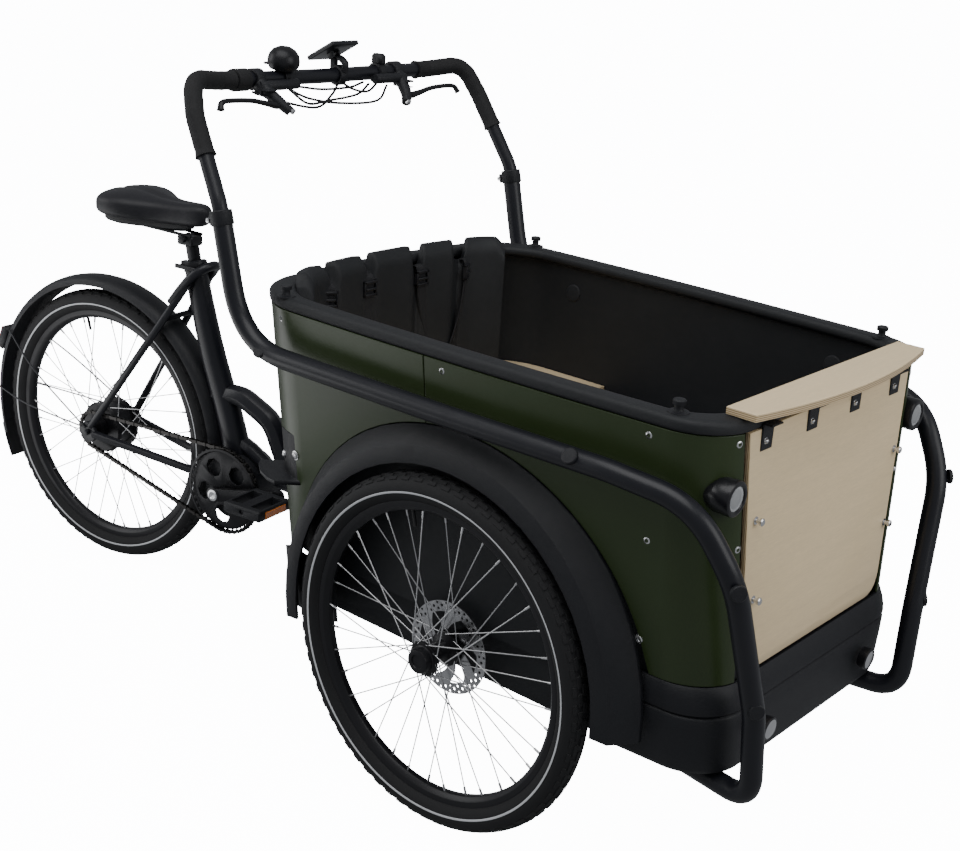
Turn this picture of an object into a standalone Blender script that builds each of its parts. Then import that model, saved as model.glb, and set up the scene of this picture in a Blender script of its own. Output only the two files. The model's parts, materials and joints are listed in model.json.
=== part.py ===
"""Three-wheeled cargo bicycle: a box on two front wheels, steered about a pivot under its rear edge.

Metres. +X forward, +Y left, +Z up, ground at z = 0. Pieces are laid out with the front axle at x = 0
and the bicycle straight; the root empties then shift it to the middle of its length, and turn the rear
frame by REST_STEER.
"""
import math
from math import cos, pi, radians, sin, tan

import bmesh
import bpy
from mathutils import Vector

# ---------- driving dimensions ----------
GAP = 0.0003                 # clearance kept between touching pieces
WHEELBASE = 1.203
WHEEL_RADIUS = 0.302         # 47-507 tyre, 24 inch
TRACK_HALF = 0.355
PIVOT_X = -0.45
REST_STEER = 8.0             # degrees, the small turn that the bicycle stands at
ORIGIN_X = 0.4955            # from the front axle's layout place to the row's origin, halfway along

RIM_HEIGHT = 0.805           # top of the box
FLOOR_HEIGHT = 0.345
BOX_FRONT = 0.446
BOX_REAR = -0.500
BOX_HALF_WIDTH = 0.346
SIDE_LEAN = 4.2              # degrees, the sides draw in towards the floor
FRONT_LEAN = 3.0             # degrees, the front stands out towards the floor
REAR_LEAN = 4.0
FRONT_CORNER = 0.085
REAR_CORNER = 0.130
SEAM_STATION = 12.76         # where the two side panels meet, a station of half_plan
PANEL_TOP = 0.784
PANEL_BOTTOM = 0.395
PANEL_THICKNESS = 0.004

ARCH_INNER = 0.318           # wheel arch, radii about the front axle
ARCH_OUTER = 0.376

RAIL_RADIUS = 0.0170
BAR_RADIUS = 0.0135
GRIP_RADIUS = 0.0175

BOTTOM_BRACKET = Vector((-0.828, 0.0, 0.262))
REAR_AXLE = Vector((-WHEELBASE, 0.0, WHEEL_RADIUS))
SEAT_TUBE_LOW = Vector((-0.8638, 0.0, 0.310))
SEAT_TUBE_TOP = Vector((-0.958, 0.0, 0.712))
SEAT_TUBE_RADIUS = 0.0190
CHAINRING_RADIUS = 0.090
CRANK_LENGTH = 0.170
CRANK_ANGLE = 14.0           # degrees above forward, right crank
CHAIN_Y = -0.050
SPROCKET_RADIUS = 0.0400
MOTOR_CENTRE = Vector((-0.821, 0.0, 0.268))
MOTOR_RADIUS = 0.068
STRAP_PLACES = (-0.185, -0.070, 0.070, 0.185)   # where the harness straps pass the backrest
SEAT_DIRECTION = (SEAT_TUBE_TOP - SEAT_TUBE_LOW).normalized()
SADDLE_SECTIONS = [          # x, half width, lowest, highest
    (-1.208, 0.045, 0.786, 0.828), (-1.198, 0.070, 0.783, 0.838), (-1.165, 0.088, 0.782, 0.846),
    (-1.120, 0.084, 0.782, 0.848), (-1.080, 0.064, 0.782, 0.844), (-1.030, 0.040, 0.783, 0.840),
    (-0.970, 0.028, 0.785, 0.840), (-0.935, 0.020, 0.790, 0.836), (-0.924, 0.010, 0.802, 0.826)]



# ---------- scene and materials ----------
for item in list(bpy.data.objects):
    bpy.data.objects.remove(item)

parts = bpy.data.collections.new("cargo_bicycle")
cutters = bpy.data.collections.new("cutters")
bpy.context.scene.collection.children.link(parts)
bpy.context.scene.collection.children.link(cutters)


def finish(name, colour, roughness, metallic=0.0):
    """A Principled material in a sub-part's own colour."""
    material = bpy.data.materials.new(name + "_finish")
    material.use_nodes = True
    shader = material.node_tree.nodes["Principled BSDF"]
    shader.inputs["Base Color"].default_value = (*colour, 1.0)
    shader.inputs["Roughness"].default_value = roughness
    shader.inputs["Metallic"].default_value = metallic
    return material


OLIVE = ((0.035, 0.050, 0.025), 0.35, 0.0)
BIRCH = ((0.60, 0.47, 0.28), 0.50, 0.0)
SATIN_BLACK = ((0.018, 0.018, 0.022), 0.40, 0.0)
PLASTIC_BLACK = ((0.020, 0.020, 0.023), 0.60, 0.0)
RUBBER = ((0.012, 0.012, 0.012), 0.85, 0.0)
SILVER = ((0.60, 0.60, 0.60), 0.30, 1.0)
STEEL = ((0.35, 0.35, 0.36), 0.35, 1.0)
WEBBING = ((0.015, 0.015, 0.017), 0.90, 0.0)


def empty_at(name, place, parent=None, turn=0.0):
    """An empty on a joint; its place is given with the bicycle straight."""
    empty = bpy.data.objects.new(name, None)
    parts.objects.link(empty)
    empty["straight"] = tuple(place)
    home = Vector(parent["straight"]) if parent else Vector((-ORIGIN_X, 0, 0))
    empty.location = Vector(place) - home
    empty.rotation_euler = (0, 0, radians(turn))
    empty.parent = parent
    return empty


def keep(piece, look, parent):
    """Give a piece its material and hang it on its body's empty."""
    piece.data.materials.clear()
    piece.data.materials.append(finish(piece.name, *look))
    for collection in list(piece.users_collection):
        collection.objects.unlink(piece)
    parts.objects.link(piece)
    piece.parent = parent
    piece.location = piece.location - Vector(parent["straight"])
    return piece


def as_cutter(piece):
    """Hide a piece in the cutters' collection."""
    for collection in list(piece.users_collection):
        collection.objects.unlink(piece)
    cutters.objects.link(piece)
    piece.hide_render = True
    piece.display_type = 'WIRE'
    return piece


def new_object(name, mesh):
    piece = bpy.data.objects.new(name, mesh)
    parts.objects.link(piece)
    return piece


def combine(piece, other, operation):
    """Add or cut another solid; both still stand in straight coordinates."""
    as_cutter(other)
    modifier = piece.modifiers.new(other.name, 'BOOLEAN')
    modifier.object = other
    modifier.operation = operation
    modifier.solver = 'EXACT'
    settle(piece)
    bpy.data.objects.remove(other)
    return piece


def settle(piece):
    """Replace a piece's mesh with its evaluated one, so later steps see the finished shape."""
    depsgraph = bpy.context.evaluated_depsgraph_get()
    mesh = bpy.data.meshes.new_from_object(piece.evaluated_get(depsgraph))
    shape = bmesh.new()
    shape.from_mesh(mesh)
    bmesh.ops.remove_doubles(shape, verts=shape.verts, dist=0.00001)
    shape.to_mesh(mesh)
    shape.free()
    piece.modifiers.clear()
    piece.data = mesh


def join(piece, *others):
    for other in others:
        combine(piece, other, 'UNION')
    return piece


def cut(piece, *others):
    for other in others:
        combine(piece, other, 'DIFFERENCE')
    return piece


# ---------- shapes ----------
def face_outward(shape):
    """Turn a closed mesh's faces to point out."""
    bmesh.ops.recalc_face_normals(shape, faces=shape.faces)
    if shape.calc_volume(signed=True) < 0:
        bmesh.ops.reverse_faces(shape, faces=shape.faces)


def box(name, low, high, bevel=0.0):
    """A block between two corners."""
    shape = bmesh.new()
    bmesh.ops.create_cube(shape, size=1.0)
    low, high = Vector(low), Vector(high)
    for vertex in shape.verts:
        vertex.co = Vector([(low[i] + high[i]) / 2 + vertex.co[i] * (high[i] - low[i]) for i in range(3)])
    if bevel:
        bmesh.ops.bevel(shape, geom=shape.edges, offset=bevel, segments=1, affect='EDGES')
    mesh = bpy.data.meshes.new(name)
    shape.to_mesh(mesh)
    shape.free()
    return new_object(name, mesh)


def rod(name, start, end, radius, end_radius=None, sides=16):
    """A round bar, or a cone, between two points."""
    start, end = Vector(start), Vector(end)
    shape = bmesh.new()
    bmesh.ops.create_cone(shape, cap_ends=True, segments=sides, radius1=radius,
                          radius2=radius if end_radius is None else end_radius,
                          depth=(end - start).length)
    turn = Vector((0, 0, 1)).rotation_difference(end - start)
    for vertex in shape.verts:
        vertex.co = turn @ vertex.co + (start + end) / 2
    mesh = bpy.data.meshes.new(name)
    shape.to_mesh(mesh)
    shape.free()
    return new_object(name, mesh)


def turned(name, centre, profile, side=-1, steps=32, ring=True):
    """A turned shape about an axis along Y; the profile is (radius, distance outward from centre)."""
    mesh = bpy.data.meshes.new(name)
    points = [(radius, 0.0, along) for radius, along in profile]
    edges = [(i, i + 1) for i in range(len(points) - 1)]
    if ring:
        edges.append((len(points) - 1, 0))
    mesh.from_pydata(points, edges, [])
    piece = new_object(name, mesh)
    screw = piece.modifiers.new("turn", 'SCREW')
    screw.steps = steps
    screw.render_steps = steps
    screw.use_merge_vertices = True
    screw.merge_threshold = 0.00001
    screw.use_smooth_shade = False
    settle(piece)
    return reshape(piece, lambda x, y, z: Vector((x, side * z, -side * y)) + Vector(centre))


def bent(points, radius, steps=5):
    """A route with its inner corners rounded to an arc of about the given radius."""
    points = [Vector(point) for point in points]
    route = [points[0]]
    for before, corner, after in zip(points, points[1:], points[2:]):
        inward, outward = (before - corner), (after - corner)
        half = inward.angle(outward) / 2
        reach = min(radius / tan(half), 0.48 * inward.length, 0.48 * outward.length)
        start = corner + inward.normalized() * reach
        end = corner + outward.normalized() * reach
        for step in range(steps + 1):
            t = step / steps
            route.append(start * (1 - t) ** 2 + corner * 2 * t * (1 - t) + end * t ** 2)
    route.append(points[-1])
    return route


def tube(name, points, radius, resolution=2):
    """A round tube along a route, made a mesh so that it can be cut and joined."""
    curve = bpy.data.curves.new(name + "_route", 'CURVE')
    curve.dimensions = '3D'
    curve.bevel_depth = radius
    curve.bevel_resolution = resolution
    curve.use_fill_caps = True
    spline = curve.splines.new('POLY')
    spline.points.add(len(points) - 1)
    for point, place in zip(spline.points, points):
        point.co = (*place, 1.0)
    guide = bpy.data.objects.new(name + "_guide", curve)
    parts.objects.link(guide)
    depsgraph = bpy.context.evaluated_depsgraph_get()
    mesh = bpy.data.meshes.new_from_object(guide.evaluated_get(depsgraph))
    shape = bmesh.new()
    shape.from_mesh(mesh)
    bmesh.ops.remove_doubles(shape, verts=shape.verts, dist=0.00001)
    face_outward(shape)
    shape.to_mesh(mesh)
    shape.free()
    bpy.data.objects.remove(guide)
    return new_object(name, mesh)


def loft(name, rows, round_trip=True):
    """Faces between rows of points, with both end rows closed by a cap; a closed solid."""
    shape = bmesh.new()
    rings = [[shape.verts.new(point) for point in row] for row in rows]
    count = len(rings[0])
    for lower, upper in zip(rings, rings[1:]):
        for i in range(count if round_trip else count - 1):
            j = (i + 1) % count
            shape.faces.new((lower[i], lower[j], upper[j], upper[i]))
    shape.faces.new(list(reversed(rings[0])))
    shape.faces.new(rings[-1])
    face_outward(shape)
    mesh = bpy.data.meshes.new(name)
    shape.to_mesh(mesh)
    shape.free()
    return new_object(name, mesh)


def slab(name, outer, inner, low, high):
    """A curved wall: two plan lines of equal length, each a function of height, between two heights."""
    rows = []
    for height in (low, high):
        front = [Vector((x, y, height)) for x, y in outer(height)]
        back = [Vector((x, y, height)) for x, y in inner(height)]
        rows.append(front + list(reversed(back)))
    return loft(name, rows)


def plate(name, outlines, thickness):
    """A flat plate from its outline in X and Z, and any holes in it; its thickness is centred on y = 0."""
    curve = bpy.data.curves.new(name + "_outline", 'CURVE')
    curve.dimensions = '2D'
    curve.fill_mode = 'BOTH'
    curve.extrude = thickness / 2
    for outline in outlines:
        spline = curve.splines.new('POLY')
        spline.points.add(len(outline) - 1)
        spline.use_cyclic_u = True
        for point, (x, z) in zip(spline.points, outline):
            point.co = (x, z, 0.0, 1.0)
    guide = bpy.data.objects.new(name + "_guide", curve)
    parts.objects.link(guide)
    depsgraph = bpy.context.evaluated_depsgraph_get()
    mesh = bpy.data.meshes.new_from_object(guide.evaluated_get(depsgraph))
    shape = bmesh.new()
    shape.from_mesh(mesh)
    bmesh.ops.remove_doubles(shape, verts=shape.verts, dist=0.00001)
    for vertex in shape.verts:
        x, z, depth = vertex.co
        vertex.co = (x, -depth, z)
    face_outward(shape)
    shape.to_mesh(mesh)
    shape.free()
    bpy.data.objects.remove(guide)
    return new_object(name, mesh)


def reshape(piece, place):
    """Move every vertex by a function of its coordinates, and turn the faces outward again."""
    shape = bmesh.new()
    shape.from_mesh(piece.data)
    for vertex in shape.verts:
        vertex.co = place(*vertex.co)
    face_outward(shape)
    shape.to_mesh(piece.data)
    shape.free()
    return piece


# ---------- the box's plan ----------
def half_plan(height, inset):
    """Plan points of the box from the middle of its front round its left side to the middle of its rear."""
    drop = RIM_HEIGHT - height
    front = BOX_FRONT + drop * tan(radians(FRONT_LEAN)) - inset
    rear = BOX_REAR + drop * tan(radians(REAR_LEAN)) + inset
    wide = BOX_HALF_WIDTH - drop * tan(radians(SIDE_LEAN)) - inset
    side_front, side_rear = wide - 0.020, wide - 0.004
    points = [(front, 0.0), (front, (side_front - FRONT_CORNER) * 0.6)]
    for step in range(7):
        angle = pi / 2 * step / 6
        points.append((front - FRONT_CORNER * (1 - cos(angle)),
                       side_front - FRONT_CORNER * (1 - sin(angle))))
    start, end = front - FRONT_CORNER, rear + REAR_CORNER
    for step in range(1, 8):
        along = step / 8
        bulge = 4 * 0.014 * along * (1 - along)
        points.append((start + (end - start) * along,
                       side_front + (side_rear - side_front) * along + bulge * 0.5))
    for step in range(7):
        angle = pi / 2 + pi / 2 * step / 6
        points.append((rear + REAR_CORNER * (1 + cos(angle)),
                       side_rear - REAR_CORNER * (1 - sin(angle))))
    flat = side_rear - REAR_CORNER
    points += [(rear - 0.010, flat * 0.5), (rear - 0.014, 0.0)]
    return points


def plan(height, inset):
    """The whole closed plan line of the box."""
    left = half_plan(height, inset)
    right = [(x, -y) for x, y in left[1:-1]]
    return left + list(reversed(right))


def side_line(height, inset, first, last, side):
    """One side's plan line between two stations; a station is a place in half_plan's list, or between two."""
    points = half_plan(height, inset)
    stations = [first] + [i for i in range(len(points)) if first < i < last] + [last]
    line = []
    for station in stations:
        i = min(int(station), len(points) - 2)
        share = station - i
        x = points[i][0] + (points[i + 1][0] - points[i][0]) * share
        y = points[i][1] + (points[i + 1][1] - points[i][1]) * share
        line.append((x, side * y))
    return line


def wall(name, first, last, outside, inside, low, high, side):
    """A curved wall that follows the box's side between two stations and two heights."""
    return slab(name, lambda z: side_line(z, outside, first, last, side),
                lambda z: side_line(z, inside, first, last, side), low, high)


def swept_ring(name, centre, section, start, end, steps, side=1):
    """A profile (radius, y) carried round an axis along Y between two angles, in degrees from forward."""
    rows = []
    for step in range(steps + 1):
        angle = radians(start + (end - start) * step / steps)
        rows.append([Vector((centre[0] + radius * cos(angle), side * y, centre[2] + radius * sin(angle)))
                     for radius, y in section(angle)])
    return loft(name, rows)


# ---------- the box ----------
def make_tub():
    """The moulded liner: floor, leaning walls and a rolled rim, one closed skin."""
    sections = [(FLOOR_HEIGHT - 0.006, 0.0065), (0.784, 0.0065), (0.7855, -0.004), (0.799, -0.004),
                (0.805, 0.002), (0.805, 0.022), (0.799, 0.028), (0.790, 0.028), (0.782, 0.0125),
                (FLOOR_HEIGHT + 0.014, 0.0125), (FLOOR_HEIGHT, 0.0265)]
    rows = [[Vector((x, y, z)) for x, y in plan(z, inset)] for z, inset in sections]
    keep(loft("tub", rows), PLASTIC_BLACK, straight_box)


def make_panels():
    """Two skins on each side, cut away round the wheel."""
    for side, word in ((-1, "right"), (1, "left")):
        for name, first, last, low in (("front", 2.7, SEAM_STATION - 0.01, PANEL_BOTTOM),
                                       ("rear", SEAM_STATION + 0.01, 22.0, 0.337)):
            panel = wall(f"{name}_panel_{word}", first, last, 0.0, PANEL_THICKNESS, low, PANEL_TOP, side)
            opening = rod("opening", (0, side * 0.25, WHEEL_RADIUS), (0, side * 0.42, WHEEL_RADIUS),
                          ARCH_OUTER + 0.0008, sides=96)
            keep(cut(panel, opening), OLIVE, straight_box)


def side_y(x, height, inset):
    """Half width of the box at a place along one side."""
    points = half_plan(height, inset)[2:]
    for (x0, y0), (x1, y1) in zip(points, points[1:]):
        if x1 <= x <= x0:
            return y0 + (y1 - y0) * (x0 - x) / (x0 - x1)
    return points[-1][1]


def arch_section(angle):
    """The wheel arch's profile: a flange on the panel, a slope out to a ridge, and a lip over the tyre."""
    x, z = ARCH_OUTER * cos(angle), WHEEL_RADIUS + ARCH_OUTER * sin(angle)
    inner = max(side_y(x, z, 0.0065) + 0.0012, 0.3125)
    outer = max(side_y(x, z, 0.0) + 0.0065, inner + 0.007)
    return [(ARCH_OUTER, inner), (ARCH_OUTER, outer), (0.348, 0.362), (ARCH_INNER, 0.366),
            (ARCH_INNER, 0.361), (0.344, 0.357), (0.370, outer - 0.003), (0.370, inner)]


def make_arches():
    for side, word in ((-1, "right"), (1, "left")):
        arch = swept_ring(f"wheel_arch_{word}", (0, 0, WHEEL_RADIUS), arch_section, -2, 190, 28, side)
        foot = wall("foot", 15.45, 18.0, -0.012, 0.002, 0.232, 0.3365, side)
        keep(join(arch, foot), PLASTIC_BLACK, straight_box)


def make_skirt():
    """The moulding round the front of the base."""
    def line(inset):
        def at(height):
            left = side_line(height, inset, 0.0, 9.3, 1)
            right = side_line(height, inset, 0.0, 9.3, -1)
            return list(reversed(left)) + right[1:]
        return at
    keep(slab("front_skirt", line(-0.006), line(0.001), 0.248, PANEL_BOTTOM - 0.0006), PLASTIC_BLACK, straight_box)


def make_tray():
    """An open tray under the liner; its sides are the walls behind the front wheels."""
    tray = box("base_tray", (-0.372, -0.285, 0.250), (0.330, 0.285, 0.3385))
    hollow = box("hollow", (-0.420, -0.280, 0.255), (0.325, 0.280, 0.360))
    axle_hole = rod("axle_hole", (0, -0.3, WHEEL_RADIUS), (0, 0.3, WHEEL_RADIUS), 0.0165)
    keep(cut(tray, hollow, axle_hole), PLASTIC_BLACK, straight_box)


def make_chassis():
    """The steel cross beam and stub axles, the spine, and the fork that holds the steering pin."""
    chassis = rod("chassis", (0, -0.296, WHEEL_RADIUS), (0, 0.296, WHEEL_RADIUS), 0.0160)
    stubs = [rod("stub", (0, side * 0.290, WHEEL_RADIUS), (0, side * 0.391, WHEEL_RADIUS), 0.0075)
             for side in (-1, 1)]
    spine = box("spine", (-0.405, -0.030, 0.285), (0.300, 0.030, 0.319))
    upper = rod("upper", (PIVOT_X, 0, 0.322), (PIVOT_X, 0, 0.332), 0.045, sides=24)
    upper_arm = box("upper_arm", (-0.44, -0.0295, 0.3225), (-0.386, 0.0295, 0.3310))
    riser = box("riser", (-0.4045, -0.0285, 0.300), (-0.387, 0.0285, 0.3300))
    web = box("web", (-0.4040, -0.025, 0.2580), (-0.388, 0.025, 0.300))
    pin = rod("pin", (PIVOT_X, 0, 0.262), (PIVOT_X, 0, 0.325), 0.010)
    lower = rod("lower", (PIVOT_X, 0, 0.2570), (PIVOT_X, 0, 0.2640), 0.042, sides=24)
    lower_arm = box("lower_arm", (-0.44, -0.025, 0.2575), (-0.385, 0.025, 0.2636))
    cross = box("cross", (0.270, -0.235, 0.262), (0.300, 0.235, 0.300))
    keep(join(chassis, *stubs, spine, cross, riser, upper, upper_arm, web, lower, lower_arm, pin),
         SATIN_BLACK, straight_box)


def rounded_outline(corners, steps=5):
    """A closed outline with each (x, z, radius) corner rounded."""
    outline = []
    count = len(corners)
    for i, (x, z, radius) in enumerate(corners):
        corner = Vector((x, z))
        before = Vector(corners[i - 1][:2]) - corner
        after = Vector(corners[(i + 1) % count][:2]) - corner
        if radius == 0:
            outline.append((x, z))
            continue
        reach = radius / tan(before.angle(after) / 2)
        start, end = corner + before.normalized() * reach, corner + after.normalized() * reach
        for step in range(steps + 1):
            t = step / steps
            point = start * (1 - t) ** 2 + corner * 2 * t * (1 - t) + end * t ** 2
            outline.append((point.x, point.y))
    return outline


def make_boards():
    """The plywood: the front panel, the small shelf over it, and the seat inside."""
    front = plate("front_board", [rounded_outline([(-0.246, 0.7830, 0), (0.246, 0.7830, 0),
                                                   (0.214, 0.4020, 0.045), (-0.214, 0.4020, 0.045)])], 0.009)
    reshape(front, lambda y, depth, z: (BOX_FRONT + 0.0005 + depth + (RIM_HEIGHT - z) * tan(radians(FRONT_LEAN)),
                                        y, z))
    keep(front, BIRCH, straight_box)

    bow = [(0.452 + 0.028 * (1 - (y / 0.236) ** 2), y) for y in [0.236 * (i / 8 - 1) for i in range(17)]]
    shelf = plate("top_shelf", [[(0.400, 0.236), (0.400, -0.236)] + bow], 0.012)
    reshape(shelf, lambda x, depth, y: (x, y, 0.8118 + depth))
    keep(shelf, BIRCH, straight_box)

    rows = []
    for height in (0.560, 0.572):
        left = side_line(height, 0.0145, 14.2, 24.0, 1)
        right = side_line(height, 0.0145, 14.2, 24.0, -1)
        rows.append([Vector((x, y, height)) for x, y in left + list(reversed(right))[1:]])
    keep(loft("seat_board", rows), BIRCH, straight_box)


def make_backrest():
    """The moulded back of the seat, with a slot for each harness strap."""
    def line(inset):
        def at(height):
            left = side_line(height, inset, 19.0, 24.0, 1)
            right = side_line(height, inset, 19.0, 24.0, -1)
            return left + list(reversed(right))[1:]
        return at
    back = slab("backrest", line(0.0285), line(0.050), 0.5735, 0.828)
    for y in STRAP_PLACES:
        back = cut(back, box("slot", (-0.52, y - 0.013, 0.772), (-0.38, y + 0.013, 0.84)))
    keep(back, PLASTIC_BLACK, straight_box)


def make_harnesses():
    """Each rider's pair of shoulder straps, joined at a buckle on the seat."""
    for side, word in ((-1, "right"), (1, "left")):
        middle = side * 0.128
        top_x, low_x = -0.433, -0.400
        pieces = []
        for place in (abs(STRAP_PLACES[3]), abs(STRAP_PLACES[2])):
            y = side * place
            rows = []
            for share in (0.0, 1.0):
                x = top_x + (low_x - top_x) * share
                if place > 0.1:
                    x += 0.014 * (1 - share)
                z = 0.768 + (0.590 - 0.768) * share
                centre = y + (middle - y) * share
                rows.append([Vector((x, centre - 0.012, z)), Vector((x, centre + 0.012, z)),
                             Vector((x + 0.003, centre + 0.012, z)), Vector((x + 0.003, centre - 0.012, z))])
            pieces.append(loft(f"harness_{word}" if not pieces else "strap", rows))
        buckle = box("buckle", (low_x - 0.005, middle - 0.022, 0.5735), (low_x + 0.008, middle + 0.022, 0.612))
        keep(join(pieces[0], pieces[1], buckle), WEBBING, straight_box)


def rail_route(side):
    points = [(-0.508, 0.379, 0.923), (-0.476, 0.379, 0.800), (-0.452, 0.376, 0.722), (-0.350, 0.366, 0.708),
              (0.000, 0.369, 0.712), (0.300, 0.362, 0.712), (0.440, 0.352, 0.700), (0.503, 0.323, 0.592),
              (0.524, 0.258, 0.377), (0.530, 0.242, 0.228), (0.350, 0.213, 0.2285)]
    return [Vector((x, side * y, z)) for x, y, z in points]


BAR_AXIS = (Vector((-0.508, 0, 0.923)) - Vector((-0.476, 0, 0.800))).normalized()


def make_rails():
    """The bumper tubes: from the handlebar sockets along the sides, down the front and under the base."""
    for side, word in ((-1, "right"), (1, "left")):
        route = rail_route(side)
        rounded = bent([route[0], route[1], route[2], route[3]], 0.09)[:-1]
        rounded += bent([route[3], route[4], route[5]], 0.3)[:-1]
        rounded += bent([route[5], route[6], route[7]], 0.10)[:-1]
        rounded += bent([route[7], route[8], route[9], route[10]], 0.045)
        rail = tube(f"side_rail_{word}", rounded, RAIL_RADIUS, resolution=2)
        top = route[0]
        socket = rod("socket", top + BAR_AXIS * 0.01, top - BAR_AXIS * 0.115, BAR_RADIUS + 0.0006)
        stub = rod("stub", (0.352, side * 0.2134, 0.230), (0.352, side * 0.2134, 0.2496), 0.010)
        keep(join(cut(rail, socket), stub), SATIN_BLACK, straight_box)


def make_steps():
    """A bracket with a small step on each rear corner."""
    for side, word in ((-1, "right"), (1, "left")):
        step = wall(f"side_step_{word}", 16.35, 18.0, -0.0045, -GAP, 0.478, 0.562, side)
        ledge = wall("ledge", 16.30, 19.5, -0.036, -GAP, 0.472, 0.479, side)
        keep(join(step, ledge), SATIN_BLACK, straight_box)


def make_lamps():
    """A headlamp on each front corner."""
    for side, word in ((-1, "right"), (1, "left")):
        centre = Vector((0.436, side * 0.281, 0.698))
        lamp = rod(f"headlamp_{word}", centre, centre + Vector((0.026, 0, 0)), 0.0265, sides=24)
        back = rod("back", centre + Vector((0.004, 0, 0)), centre - Vector((0.050, 0, 0)), 0.0265, 0.012, sides=24)
        body = loft("body", [[Vector((x, y, z)) for x, y in plan(z, -GAP)] for z in (0.62, 0.775)])
        rail_gap = tube("rail_gap", bent([rail_route(side)[5], rail_route(side)[6], rail_route(side)[7]], 0.10),
                        RAIL_RADIUS + 0.001, resolution=2)
        keep(cut(join(lamp, back), body, rail_gap), SATIN_BLACK, straight_box)


# ---------- the handlebar and its controls ----------
def bar_route(side):
    """Half of the handlebar, from inside its socket to the middle of the crossbar."""
    top = Vector((-0.508, 0.379, 0.923))
    points = [top - BAR_AXIS * 0.100, top + BAR_AXIS * 0.020, Vector((-0.596, 0.364, 1.075)),
              Vector((-0.628, 0.345, 1.132)), Vector((-0.655, 0.260, 1.122)), Vector((-0.668, 0.0, 1.118))]
    return [Vector((x, side * y, z)) for x, y, z in points]


def rounded_bar(side):
    route = bar_route(side)
    first = bent(route[:3], 0.10)[:-1]
    return first + bent([route[2], route[3], route[4]], 0.045)[:-1] + bent(route[4:], 0.1)


def bar_point(y):
    """The crossbar's centre at a given Y between its bends."""
    share = abs(y) / 0.260
    return Vector((-0.668 + 0.013 * share, y, 1.118 + 0.004 * share))


def make_handlebar():
    right, left = rounded_bar(-1), rounded_bar(1)
    bar = tube("handlebar", right + list(reversed(left))[1:], BAR_RADIUS, resolution=2)
    keep(bar, SATIN_BLACK, bar_origin)
    for side, word in ((-1, "right"), (1, "left")):
        route = rounded_bar(side)
        sleeve = [bar_route(side)[1] * 0.45 + bar_route(side)[2] * 0.55]
        sleeve += [point for point in route if point.z > 1.060 and abs(point.y) > 0.262] + [bar_point(side * 0.235)]
        grip = tube(f"grip_{word}", sleeve, GRIP_RADIUS, resolution=2)
        bore = tube("bore", right + list(reversed(left))[1:], BAR_RADIUS + 0.0005, resolution=2)
        keep(cut(grip, bore), RUBBER, bar_origin)


def clamp_ring(name, y, width, radius):
    """A collar round the crossbar."""
    ring = rod(name, bar_point(y - width / 2), bar_point(y + width / 2), radius, sides=20)
    hole = rod("hole", bar_point(y - width), bar_point(y + width), BAR_RADIUS + 0.0006, sides=20)
    return ring, hole


LEVER_PIVOT = {side: bar_point(side * 0.182) + Vector((0.040, 0, -0.020)) for side in (-1, 1)}


def make_brakes():
    for side, word in ((-1, "right"), (1, "left")):
        ring, hole = clamp_ring(f"brake_mount_{word}", side * 0.178, 0.020, 0.0195)
        centre, pivot = bar_point(side * 0.178), LEVER_PIVOT[side]
        arm = box("arm", (centre.x + 0.008, min(side * 0.168, side * 0.188), centre.z - 0.026),
                  (pivot.x + 0.007, max(side * 0.168, side * 0.188), centre.z - 0.012), 0.002)
        reservoir = rod("reservoir", (centre.x + 0.022, side * 0.186, centre.z - 0.010),
                        (centre.x + 0.026, side * 0.100, centre.z - 0.008), 0.0095, sides=16)
        slot = box("slot", (pivot.x - 0.012, -0.3, pivot.z - 0.0043), (pivot.x + 0.02, 0.3, pivot.z + 0.0043))
        keep(cut(join(ring, arm, reservoir), hole, slot), SATIN_BLACK, bar_origin)
        reach = [(-0.006, -0.006, 0), (0.008, -0.006, 0), (0.012, 0.030, 0.004), (0.012, 0.105, 0.004),
                 (0.020, 0.125, 0.004), (0.013, 0.132, 0.004), (0.002, 0.108, 0.004), (0.002, 0.034, 0.004),
                 (-0.006, 0.010, 0)]
        blade = plate(f"brake_lever_{word}", [rounded_outline(reach, 3)], 0.0076)
        reshape(blade, lambda x, depth, along: (pivot.x + x, pivot.y + side * along, pivot.z + depth))
        keep(blade, STEEL, lever_axis[side])


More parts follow.
